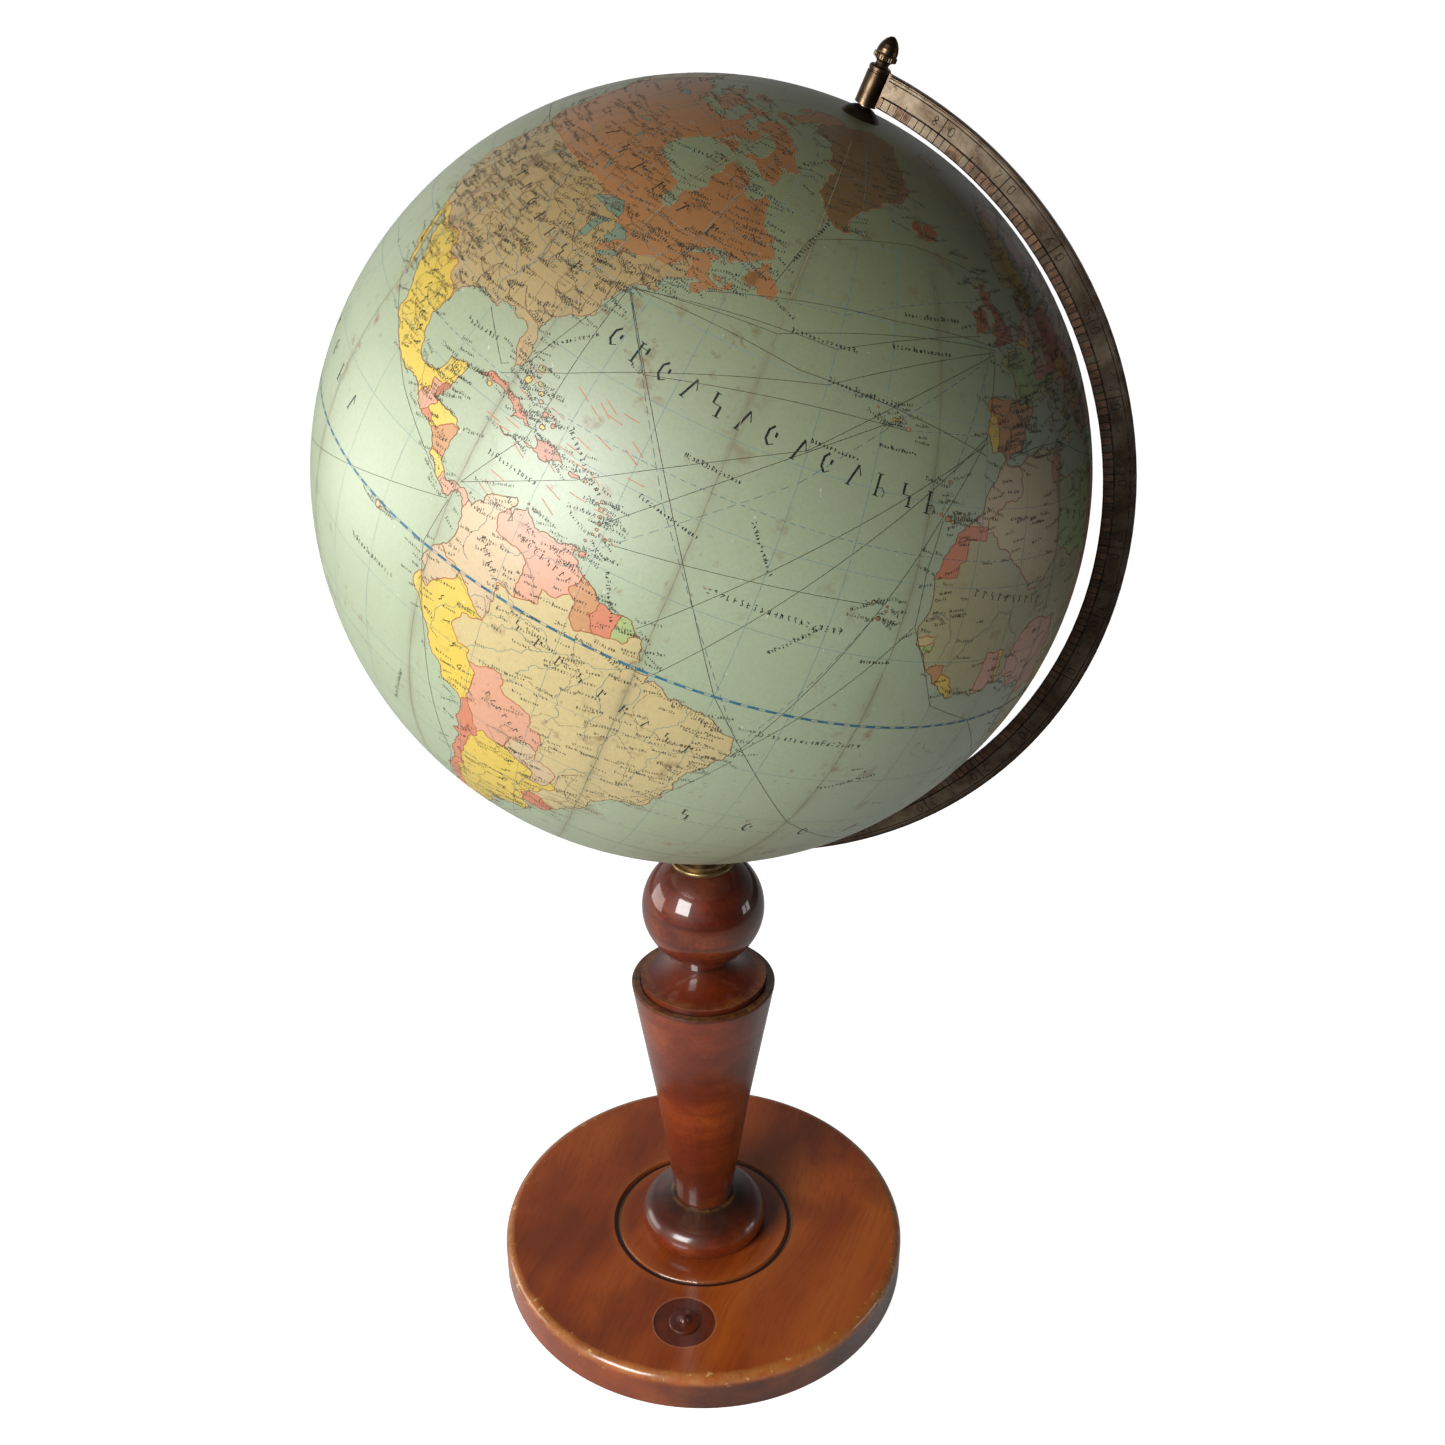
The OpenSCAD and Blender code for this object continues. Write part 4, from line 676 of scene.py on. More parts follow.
def roughen(points, step, amount, dice):
    """Puts ever smaller sideways steps between the points, like a natural coast or border."""
    out = []

    def split(a, b):
        squash = max(0.2, math.cos(math.radians((a[1] + b[1]) / 2)))
        dx, dy = (b[0] - a[0]) * squash, b[1] - a[1]
        length = math.hypot(dx, dy)
        if length < step:
            out.append(a)
            return
        off = max(-0.3, min(0.3, dice.gauss(0, amount)))
        middle = ((a[0] + b[0]) / 2 - dy * off / squash, (a[1] + b[1]) / 2 + dx * off)
        split(a, middle)
        split(middle, b)

    for a, b in zip(points, points[1:]):
        split(a, b)
    return out + [points[-1]]


def refined(points, step=1.5):
    """The same line with no gap longer than step degrees."""
    out = [points[0]]
    for a, b in zip(points, points[1:]):
        n = max(1, math.ceil(max(abs(b[0] - a[0]) * math.cos(math.radians(a[1])), abs(b[1] - a[1])) / step))
        out += [(a[0] + (b[0] - a[0]) * i / n, a[1] + (b[1] - a[1]) * i / n) for i in range(1, n + 1)]
    return out


def inside(loops, points):
    """For each point, True if an odd number of loops hold it."""
    a = np.concatenate([np.array(loop[:-1]) for loop in loops])
    b = np.concatenate([np.array(loop[1:]) for loop in loops])
    points = np.asarray(points, float)
    held = np.zeros(len(points), bool)
    for i, (x, y) in enumerate(points):
        crossing = (a[:, 1] > y) != (b[:, 1] > y)
        p, q = a[crossing], b[crossing]
        at = p[:, 0] + (y - p[:, 1]) / (q[:, 1] - p[:, 1]) * (q[:, 0] - p[:, 0])
        held[i] = np.count_nonzero(at > x) % 2 == 1
    return held


def snapped(lines, anchors):
    """Carries the ends of border lines on to the nearest coast or border point."""
    out = []
    for k, line in enumerate(lines):
        others = np.array(anchors + [p for j, other in enumerate(lines) if j != k for p in other])
        line = list(line)
        for end in (0, -1):
            x, y = line[end]
            d = np.hypot((others[:, 0] - x) * math.cos(math.radians(y)), others[:, 1] - y)
            near = int(np.argmin(d))
            if 1e-6 < d[near] < 1.4:
                spot = tuple(float(v) for v in others[near])
                line = [spot] + line if end == 0 else line + [spot]
        out.append(line)
    return out


def draw_lines():
    """All printed lines, by kind, as lists of (longitude, latitude) points."""
    dice = random.Random(33)
    coasts = [roughen(p + [p[0]], 0.45, 0.11, dice) for _, p in read_lines(COASTS)]
    lakes = [roughen(p + [p[0]], 0.4, 0.10, dice) for _, p in read_lines(LAKES)]
    for word in ISLETS.split():
        x, y, r = (float(v) for v in word.split(","))
        ring = [(x + r * dice.uniform(0.7, 1.3) * math.cos(a) / math.cos(math.radians(y)),
                 y + r * dice.uniform(0.6, 1.1) * math.sin(a)) for a in np.arange(0, 6.1, 0.8)]
        coasts.append(roughen(ring + [ring[0]], 0.2, 0.08, dice))
    borders = [p if straight else roughen(p, 0.55, 0.10, dice) for straight, p in read_lines(BORDERS)]
    borders = snapped([refined(p) for p in borders], [p for c in coasts + lakes for p in c])
    states = [p if straight else roughen(p, 0.7, 0.09, dice) for straight, p in read_lines(STATES)]
    rivers = [roughen(p, 0.45, 0.13, dice) for _, p in read_lines(RIVERS)]
    return coasts, lakes, borders, states, rivers


def printed_sheets(coasts, lakes, borders):
    """Cuts the map into triangles along coasts, borders, seams and grid, and pours a tint into each area."""
    east = SEAM_0 + 360
    spots, edges, walls = [], [], set()

    def lay(points, wall):
        first = len(spots)
        spots.extend((min(max(x, SEAM_0), east), min(max(y, -CAP_LAT), CAP_LAT)) for x, y in points)
        for i in range(first, len(spots) - 1):
            if wall:
                walls.add(len(edges))
            edges.append((i, i + 1))

    for k in range(13):
        rows = [-CAP_LAT, -83, *np.linspace(-CUT_LAT, CUT_LAT, 81), 83, CAP_LAT]
        lay([(SEAM_0 + GORE * k, y) for y in rows], False)
    for y in (-CAP_LAT, -CUT_LAT, CUT_LAT, CAP_LAT):
        lay([(x, y) for x in np.linspace(SEAM_0, east, 181)], False)
    for line in coasts + lakes + borders:
        lay(line, True)
    for row, y in enumerate(np.linspace(-CUT_LAT, CUT_LAT, 81)[1:-1]):
        step = 2.0 if abs(y) < 62 else 3.0
        spots.extend((x, y) for x in np.arange(SEAM_0 + (1.1 if row % 2 else 2.0), east - 0.4, step))
    for y in (-84.5, -82, 82, 84.5):
        spots.extend((x, y) for x in np.arange(SEAM_0 + 2, east - 1, 5.0))

    points, lines, tris, _, source, _ = delaunay_2d_cdt([Vector(p) for p in spots], edges, [], 0, 1e-5, True)
    points = np.array([tuple(p) for p in points])
    tris = [t for t in tris if len(t) == 3]
    fences = {tuple(sorted(e)) for e, ids in zip(lines, source) if any(i in walls for i in ids)}
    sharing = {}
    for f, t in enumerate(tris):
        for e in ((t[0], t[1]), (t[1], t[2]), (t[2], t[0])):
            sharing.setdefault(tuple(sorted(e)), []).append(f)
    beside = [[] for _ in tris]
    for e, pair in sharing.items():
        if len(pair) == 2 and e not in fences:
            beside[pair[0]].append(pair[1])
            beside[pair[1]].append(pair[0])
    area_of = np.full(len(tris), -1)
    areas = 0
    for start in range(len(tris)):
        if area_of[start] < 0:
            area_of[start] = areas
            queue = [start]
            while queue:
                for g in beside[queue.pop()]:
                    if area_of[g] < 0:
                        area_of[g] = areas
                        queue.append(g)
            areas += 1

    tris = np.array([tuple(t) for t in tris])
    corner = points[tris]
    middle = corner.mean(1)
    d1, d2 = corner[:, 1] - corner[:, 0], corner[:, 2] - corner[:, 0]
    size = np.abs(d1[:, 0] * d2[:, 1] - d1[:, 1] * d2[:, 0])
    largest = np.zeros(areas, int)
    for f in np.argsort(size):
        largest[area_of[f]] = f
    on_land = inside(coasts, middle[largest])
    in_lake = inside(lakes, middle[largest])
    poured = {}
    for word in POURED.split():
        x, y, letter = word.split(",")
        near = np.argmin(((middle - (float(x), float(y))) ** 2).sum(1))
        poured.setdefault(int(area_of[near]), letter)
    choices = "obylpgs"  # for lands that nothing was poured into
    tint = np.zeros((areas, 3))
    for a in range(areas):
        if in_lake[a]:
            tint[a] = LAKE
        elif on_land[a]:
            tint[a] = TINTS[poured.get(a, choices[a % 7] if size[largest[a]] > 0.02 else "s")]
        else:
            tint[a] = SEA
    return points, tris, middle, tint[area_of] / 255.0


def paper_piece(name, points, tris, tints, material):
    """One printed sheet as a closed piece of paper: outer face, inner face and the cut edge between them."""
    used, index = np.unique(tris, return_inverse=True)
    index = index.reshape(-1, 3)
    top, out = on_globe(points[used, 0], points[used, 1])
    weld = {}
    remap = np.array([weld.setdefault(tuple(np.round(p / MM, 4)), i) for i, p in enumerate(top)])
    index = remap[index]
    keep = (index[:, 0] != index[:, 1]) & (index[:, 1] != index[:, 2]) & (index[:, 2] != index[:, 0])
    index, tints = index[keep], tints[keep]
    facing = np.einsum("ij,ij->i", np.cross(top[index[:, 1]] - top[index[:, 0]], top[index[:, 2]] - top[index[:, 0]]),
                       out[index[:, 0]])
    index[facing < 0] = index[facing < 0][:, ::-1]
    n = len(top)
    count = {}
    for a, b, c in index:
        for e in ((a, b), (b, c), (c, a)):
            count[e] = count.get(e, 0) + 1
    rim = [(a, b) for a, b in count if (b, a) not in count]
    faces = [tuple(t) for t in index] + [(c + n, b + n, a + n) for a, b, c in index]
    faces += [(b, a, a + n, b + n) for a, b in rim]
    mesh = bpy.data.meshes.new(name)
    mesh.from_pydata([tuple(p) for p in np.vstack((top, top - out * PAPER))], [],
                     [tuple(int(i) for i in f) for f in faces])
    mesh.shade_smooth()
    directions = [tuple(out[i]) for t in index for i in t]
    directions += [tuple(-out[i]) for a, b, c in index for i in (c, b, a)]
    for a, b in rim:
        flat = np.cross(top[a] - top[b], -out[a])
        flat = tuple(flat / max(1e-12, np.linalg.norm(flat)))
        directions += [flat] * 4
    mesh.normals_split_custom_set(directions)
    layer = mesh.color_attributes.new("tint", "BYTE_COLOR", "CORNER")
    loops = np.repeat(np.hstack((tints, np.ones((len(tints), 1)))), 3, axis=0)
    bare = np.tile((0.72, 0.66, 0.50, 1.0), (len(loops) + 4 * len(rim), 1))
    layer.data.foreach_set("color_srgb", np.vstack((loops, bare)).astype(np.float32).ravel())
    mesh.materials.append(material)
    return new_object(name, mesh, "globe")


def add_map(coasts, lakes, borders):
    paper = printed_paper()
    points, tris, middle, tints = printed_sheets(coasts, lakes, borders)
    between = np.abs(middle[:, 1]) < CUT_LAT
    for k in range(12):
        here = between & (middle[:, 0] > SEAM_0 + GORE * k) & (middle[:, 0] < SEAM_0 + GORE * (k + 1))
        piece = paper_piece(f"gore_{k:02d}", points, tris[here], tints[here], paper)
        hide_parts("map_gores")
    for name, here in (("polar_paper_north", middle[:, 1] > CUT_LAT), ("polar_paper_south", middle[:, 1] < -CUT_LAT)):
        here = here & (np.abs(middle[:, 1]) < CAP_LAT)
        piece = paper_piece(name, points, tris[here], tints[here], paper)
        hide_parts("polar_discs")


# ---------------------------------------------------------------- printed lines, as thin ribbons on the paper
class Ribbons:
    """Collects thin strips that lie on the globe."""

    def __init__(self):
        self.points, self.outs, self.faces = [], [], []
        self.count = 0

    def add(self, line, width, lift):
        """line is (longitude, latitude) points; width and lift are in millimetres."""
        lon, lat = np.array(line, float).T
        spots, out = on_globe(lon, lat, lift * MM)
        along = np.gradient(spots, axis=0)
        side = np.cross(out, along)
        side /= np.maximum(np.linalg.norm(side, axis=1), 1e-12)[:, None]
        n = len(spots)
        half = width * MM / 2
        self.points.append(np.stack((spots + side * half, spots - side * half), 1).reshape(-1, 3))
        self.outs.append(np.repeat(out, 2, axis=0))
        i = np.arange(n - 1) * 2 + self.count
        self.faces.append(np.stack((i + 1, i + 3, i + 2, i), 1))
        self.count += 2 * n

    def dashes(self, line, width, lift, on, off):
        fine = refined(line, 0.25)
        run = max(2, int(on / 0.25))
        for start in range(0, len(fine) - run, run + max(1, int(off / 0.25))):
            self.add(fine[start:start + run + 1], width, lift)

    def finish(self, name, tone):
        mesh = mesh_from(name, np.vstack(self.points), np.vstack(self.faces), np.vstack(self.outs),
                         inked(name + "_ink", tone))
        return new_object(name, mesh, "globe")


def print_lines(name, tone, *groups):
    """One piece of printed lines. Each group is (lines, width, lift), in millimetres."""
    ribbons = Ribbons()
    for lines, width, lift in groups:
        for line in lines:
            ribbons.add(line, width, lift)
    return ribbons.finish(name, tone)


def parallel(lat, step=1.5):
    """Points all the way round the globe at one latitude."""
    return [(SEAM_0 + x, lat) for x in np.arange(0, 360.1, step)]


def upright(lon, sway=0.0):
    """Points up a gore at one longitude, swaying a little from side to side."""
    return [(lon + sway * math.sin(lat * 0.7), lat) for lat in np.arange(-CUT_LAT, CUT_LAT + 0.1, 1.5)]


def great_circle(a, b):
    """Points of the shortest way between two places."""
    def unit(p):
        lon, lat = math.radians(p[0]), math.radians(p[1])
        return np.array((math.cos(lat) * math.cos(lon), math.cos(lat) * math.sin(lon), math.sin(lat)))
    p, q = unit(a), unit(b)
    angle = math.acos(max(-1.0, min(1.0, float(p @ q))))
    out = []
    for t in np.linspace(0, 1, max(2, int(math.degrees(angle) / 1.5))):
        v = (math.sin((1 - t) * angle) * p + math.sin(t * angle) * q) / max(1e-9, math.sin(angle))
        out.append((math.degrees(math.atan2(v[1], v[0])), math.degrees(math.asin(max(-1.0, min(1.0, v[2]))))))
    for i in range(1, len(out)):
        turn = round((out[i - 1][0] - out[i][0]) / 360)
        out[i] = (out[i][0] + 360 * turn, out[i][1])
    return out


def off_the_pole(line):
    """The stretches of a coast that are printed, without the part that only closes it round the south pole."""
    run = []
    for point in [*line, (0.0, -90.0)]:
        if point[1] > COAST_END:
            run.append(point)
        else:
            if len(run) > 1:
                yield run
            run = []


def add_outlines(coasts, lakes, borders, states, rivers):
    shores = [stretch for line in coasts for stretch in off_the_pole(line)]
    print_lines("coast_lines", (0.075, 0.075, 0.05), (shores, 0.20, 0.045), (lakes, 0.16, 0.045))
    print_lines("coast_tint", (0.40, 0.22, 0.10), (shores, 0.46, 0.034))
    print_lines("border_lines", (0.38, 0.12, 0.04), (borders, 0.40, 0.035))
    print_lines("river_lines", (0.10, 0.20, 0.22), (rivers, 0.18, 0.04))
    inner = Ribbons()
    for line in states:
        inner.dashes(line, 0.16, 0.038, 1.0, 0.35)
    inner.finish("state_lines", (0.16, 0.09, 0.05))


def add_grid():
    grid = [upright(lon) for lon in range(-170, 190, 10)] + [parallel(lat) for lat in range(-70, 80, 10) if lat]
    print_lines("grid_lines", (0.13, 0.26, 0.30), (grid, 0.13, 0.03))
    equator = Ribbons()
    for side in (-0.15, 0.15):
        equator.add(parallel(side), 0.16, 0.05)
    for k in range(150):
        lon = SEAM_0 + 2.4 * k
        equator.add([(lon, 0), (lon + 0.75, 0), (lon + 1.5, 0)], 0.85, 0.051)
    for lat in (23.45, -23.45, 66.55, -66.55):
        equator.dashes([(SEAM_0, lat), (SEAM_0 + 360, lat)], 0.16, 0.042, 0.8, 0.7)
    equator.finish("equator_and_tropics", (0.035, 0.14, 0.22))
    seams = [upright(SEAM_0 + GORE * k, 0.05) for k in range(12)] + [parallel(lat, 4) for lat in (-CUT_LAT, CUT_LAT)]
    print_lines("seam_lines", (0.27, 0.24, 0.13), (seams, 0.30, 0.036))


def add_routes():
    ways, blue = Ribbons(), Ribbons()
    for k, (_, stops) in enumerate(read_lines(ROUTES)):
        for line in map(great_circle, stops, stops[1:]):
            if k % 4 == 3:  # every fourth one is a cable
                blue.dashes(line, 0.16, 0.046, 1.0, 0.5)
            else:
                ways.add(line, 0.21, 0.046)
    ways.finish("sea_routes", (0.060, 0.050, 0.028))
    blue.finish("cable_lines", (0.06, 0.13, 0.17))


# the strokes that small signs are put together from, in a box 0.6 wide and 1 high
STROKES = [((.05, 0), (.05, 1)), ((.55, 0), (.55, 1)), ((.05, .95), (.55, .6)), ((.05, .5), (.55, .5)),
           ((.3, .05), (.3, .7)), ((.05, .05), (.45, .4)), ((.1, 1), (.5, 1)), ((.05, 0), (.4, 0)),
           ((.55, .1), (.1, .9))]


def leaning(lon, lat, lean):
    """Turns steps along and up a slanting line of print, in degrees, into longitude and latitude."""
    squash = max(0.15, math.cos(math.radians(lat)))

    def place(u, v):
        return (lon + (u * math.cos(lean) - v * math.sin(lean)) / squash,
                lat + u * math.sin(lean) + v * math.cos(lean))
    return place


def mark(lines, lon, lat, size, lean, count, dice, gap=0.85):
    """A row of meaningless signs, standing for a printed name. size is in degrees, lean in radians."""
    place = leaning(lon, lat, lean)
    for k in range(count):
        high = 1.0 if k == 0 or dice.random() < 0.2 else 0.68
        for ends in dice.sample(STROKES, dice.choice((2, 3))):
            lines.append([place((k * gap + x * high) * size, y * high * size) for x, y in ends])


# large signs, each as its heavy and its fine strokes
SIGNS = [(["0.15,0 0.15,1", "0.55,0.62 0.55,0.95"], ["0,0 0.32,0", "0,1 0.32,1", "0.15,0.8 0.55,0.8"]),
         (["0.15,0 0.15,1"], ["0,0 0.32,0", "0,1 0.32,1", "0.15,0.35 0.4,0.42 0.58,0.25 0.5,0.02"]),
         (["0.12,0.5 0.12,1", "0.5,0 0.5,0.5"], ["0,1 0.28,1", "0.12,0.5 0.5,0.5", "0.36,0 0.66,0"]),
         (["0.1,0 0.42,1"], ["0,0 0.25,0", "0.42,1 0.62,0.55"]),
         (["0.3,0.95 0.1,0.72 0.1,0.28 0.3,0.05", "0.5,0.5 0.5,0.72"], ["0.3,0.05 0.52,0.2"])]


def capital(thick, thin, lon, lat, size, lean, dice):
    """One large meaningless sign with heavy and fine strokes."""
    place = leaning(lon, lat, lean)
    for strokes, lines in zip(dice.choice(SIGNS), (thick, thin)):
        for stroke in strokes:
            lines.append(([place(*(float(v) * size for v in pair.split(","))) for pair in stroke.split()], size))


def scattered(coasts, box, count, dice):
    """Random places on land inside (west, south, east, north)."""
    spots = [(dice.uniform(box[0], box[2]), dice.uniform(box[1], box[3])) for _ in range(count)]
    return [s for s, ok in zip(spots, inside(coasts, spots)) if ok]


def add_lettering(coasts):
    dice = random.Random(5)
    small, large, thick, thin, ways = [], [], [], [], []
    towns = []
    for box, count in (((-124, 30, -68, 49), 560), ((-128, 49, -56, 62), 260), ((-116, 15, -88, 31), 120),
                       ((-82, -20, -35, 12), 420), ((-73, -50, -50, -20), 120), ((-10, 36, 40, 60), 460),
                       ((-17, 5, 40, 36), 230), ((10, -34, 40, 5), 130), ((40, 10, 140, 60), 700),
                       ((113, -38, 153, -12), 140), ((-92, 8, -77, 18), 40), ((40, 60, 180, 72), 120),
                       ((-85, 18, -60, 23), 40), ((-55, 60, -22, 80), 40), ((-165, 58, -130, 70), 40)):
        found = scattered(coasts, box, count, dice)
        towns.append(found)
        for x, y in found:
            if dice.random() < 0.72:
                mark(small, x + 0.25, y - 0.1, dice.uniform(0.34, 0.50), dice.uniform(-0.05, 0.25),
                     dice.randint(4, 8), dice)
    for group, reach in ((towns[0], 3), (towns[5], 3), (towns[4], 2), (towns[1], 1), (towns[2], 2), (towns[8], 1)):
        spots = np.array(group)
        for x, y in group:
            d = np.hypot((spots[:, 0] - x) * math.cos(math.radians(y)), spots[:, 1] - y)
            for j in np.argsort(d)[1:1 + reach]:
                if d[j] < 6:
                    ways.append(roughen([(x, y), tuple(spots[j])], 1.0, 0.045, dice))
    for line in coasts:
        for i in range(2, len(line) - 2, 5):
            x, y = line[i]
            if dice.random() < 0.9 and abs(y) < 78:
                side = dice.choice((-1, 1))
                lean = dice.uniform(-0.5, 0.5)
                n = dice.randint(4, 9)
                size = dice.uniform(0.34, 0.50)
                start = x + side * 0.5 if side > 0 else x - 0.4 - n * 0.85 * size / math.cos(math.radians(y))
                mark(small, start, y, size, lean, n, dice)
    for x0, y0, x1, y1, n, size in ((-72, 33.2, -21, 28.6, 13, 2.6), (-36, -23, 4, -25, 5, 2.3),
                                    (-66, -2.5, -40.5, -9.5, 9, 1.3),
                                    (-108, 54, -70, 51, 6, 1.7), (-118, 43, -84, 38, 9, 1.5), (-160, 8, -105, 5, 9, 2.4),
                                    (-62, -22, -64, -42, 8, 1.3), (-9, 19, 6, 17, 10, 0.9), (60, -10, 95, -20, 9, 2.4),
                                    (45, 58, 120, 62, 9, 2.0), (122, -24, 145, -26, 9, 1.6), (150, 30, 186, 22, 8, 2.4),
                                    (-74, 5.5, -70, 1, 7, 0.75), (-69, 8, -62, 6.5, 8, 0.75), (-77, -5, -72, -13, 4, 1.0),
                                    (-67, -14.5, -61, -19, 7, 0.8), (75, 26, 85, 15, 6, 1.6), (95, 38, 118, 30, 5, 1.8),
                                    (-105, 26, -98, 19, 6, 1.1), (10, 28, 28, 24, 7, 1.2), (16, 0, 28, -6, 7, 1.2)):
        for k in range(n):
            t = k / (n - 1)
            lean = math.atan2(y1 - y0, x1 - x0) * 0.9
            capital(thick, thin, x0 + (x1 - x0) * t, y0 + (y1 - y0) * t, size, lean, dice)
    for x, y, lean, n, size in ((-46, 12.5, -0.02, 21, 0.95), (-33, -4, 0.03, 20, 0.85), (-78, 29.5, 0.75, 11, 0.6),
                                (-70, 22.5, -0.65, 14, 0.7), (-52, 53, 1.25, 16, 0.6), (-92, 25.5, 0.1, 9, 0.75),
                                (-78, 14.8, 0.0, 13, 0.65), (-88, 60, 0.4, 8, 0.7), (-62, 68, 0.9, 9, 0.6),
                                (-40, 40.5, -0.06, 18, 0.6), (-48, 44.5, 0.05, 16, 0.6),
                                (-55, 26, -0.05, 15, 0.55), (-58, 19.5, -0.2, 17, 0.55), (-40, 33, -0.05, 13, 0.55),
                                (-58, 9.8, -1.1, 13, 0.55), (-36, 7.5, 0.75, 14, 0.55), (-44, 22, -0.9, 14, 0.55),
                                (-30, 47, 0.1, 16, 0.6), (-28, 51.5, 0.12, 16, 0.6), (-24, 9, 0.1, 10, 0.5),
                                (-30, 35, 0.0, 14, 0.42), (-95, -8, 0.0, 16, 0.7), (-84, -30, 1.3, 14, 0.7),
                                (-20, -12, 0.4, 16, 0.6), (5, -15, 1.2, 12, 0.6)):
        mark(large, x, y, size, lean, n, dice, 0.9)
    for x, y in ((-26, 38), (-24, 15.5), (-62, 15), (-75, 24), (-16, 28.5), (-80, 26), (-61, 12), (-68, 19), (-88, 22),
                 (-5, 60)):
        for _ in range(7):
            mark(small, x + dice.uniform(-3, 3), y + dice.uniform(-2.4, 2.4), dice.uniform(0.3, 0.4),
                 dice.uniform(-0.1, 0.2), dice.randint(4, 8), dice)
    print_lines("small_marks", (0.05, 0.05, 0.035), (small, 0.19, 0.05))
    big_marks = Ribbons()
    for line in large:
        big_marks.add(line, 0.28, 0.052)
    for line, size in thick:
        big_marks.add(line, 0.10 + 0.27 * size, 0.052)
    for line, size in thin:
        big_marks.add(line, 0.08 + 0.08 * size, 0.053)
    big_marks.finish("large_marks", (0.016, 0.020, 0.016))
    red = []
    for _ in range(34):
        x, y = dice.uniform(-83, -60), dice.uniform(11, 28)
        lean = dice.uniform(-0.5, 0.1)
        red.append([(x, y), (x + 2.4 * math.cos(lean), y + 2.4 * math.sin(lean))])
    print_lines("underlines", (0.55, 0.17, 0.08), (red, 0.30, 0.043))
    print_lines("railway_lines", (0.13, 0.075, 0.04), (ways, 0.13, 0.042))


# ---------------------------------------------------------------- degree scale on the meridian
DIGITS = {"0": "0,.25 0,.75 .15,1 .45,1 .6,.75 .6,.25 .45,0 .15,0 0,.25", "1": ".1,.8 .35,1 .35,0",
          "2": "0,.75 .15,1 .45,1 .6,.75 .55,.5 0,0 .6,0", "3": "0,.85 .2,1 .5,.95 .55,.7 .25,.53 .6,.35 .5,.05 .2,0 0,.15",
          "4": ".45,0 .45,1 0,.3 .6,.3", "5": ".55,1 .1,1 .05,.55 .4,.6 .6,.35 .5,.05 .2,0 0,.15",
          "6": ".5,1 .15,.75 0,.35 .1,.05 .45,0 .6,.25 .5,.5 .2,.55 .02,.35", "7": "0,1 .6,1 .2,0",
          "8": ".3,.53 .05,.72 .15,.98 .45,.98 .55,.72 .3,.53 .02,.27 .15,.02 .45,.02 .58,.27 .3,.53"}
BAND_IN, BOX_OUT, FIELD_OUT, BAND_OUT = 170.0, 174.4, 180.6, 183.0  # radii in mm
SCALE_END = 88.4  # degrees where the scale stops at both ends


class Engraving:
    """Collects thin marks on the flat faces of the meridian, given as radius in mm and degrees north."""

    def __init__(self, face):
        self.face = face  # -1 is the front, 1 the back
        low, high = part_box("meridian_band")
        self.lift = (high[1] - low[1]) / 2 + 0.02 * MM
        self.points, self.faces = [], []

    def place(self, flat):
        flat = np.asarray(flat) * MM
        spots = CENTRE + flat[:, :1] * EAST + flat[:, 1:] * AXLE
        spots[:, 1] += self.face * self.lift
        return spots

    def strip(self, flat, width):
        """flat is a line of (side, north) points in mm in the meridian's plane."""
        flat = np.asarray(flat, float)
        along = np.gradient(flat, axis=0)
        side = np.stack((-along[:, 1], along[:, 0]), 1)
        side /= np.maximum(np.linalg.norm(side, axis=1), 1e-9)[:, None]
        first = sum(len(p) for p in self.points)
        both = np.stack((self.place(flat + side * width / 2), self.place(flat - side * width / 2)), 1).reshape(-1, 3)
        self.points.append(both)
        for i in range(len(flat) - 1):
            quad = [first + 2 * i + v for v in (1, 3, 2, 0)]
            self.faces.append(quad if self.face < 0 else quad[::-1])

    def tick(self, angle, low, high, width):
        a = math.radians(angle)
        self.strip([(low * math.cos(a), low * math.sin(a)), (high * math.cos(a), high * math.sin(a))], width)

    def arc(self, radius, width):
        a = np.radians(np.linspace(-SCALE_END, SCALE_END, int(2 * SCALE_END / 1.5) + 1))
        self.strip(np.stack((radius * np.cos(a), radius * np.sin(a)), 1), width)

    def digit(self, shape, angle, low, high, width):
        """The digit stands outwards, centred on that angle."""
        a = math.radians(angle)
        tall = high - low
        away = np.array((math.cos(a), math.sin(a)))
        right = np.array((math.sin(a), -math.cos(a))) * -self.face
        line = [tuple(float(v) for v in p.split(",")) for p in DIGITS[shape].split()]
        self.strip([away * (low + y * tall) + right * (x - 0.3) * tall * 0.95 for x, y in line], width)

    def finish(self, name, material):
        normals = np.tile((0.0, float(self.face), 0.0), (sum(len(p) for p in self.points), 1))
        mesh = mesh_from(name, np.vstack(self.points), self.faces, normals, material)
        return new_object(name, mesh, "stand")


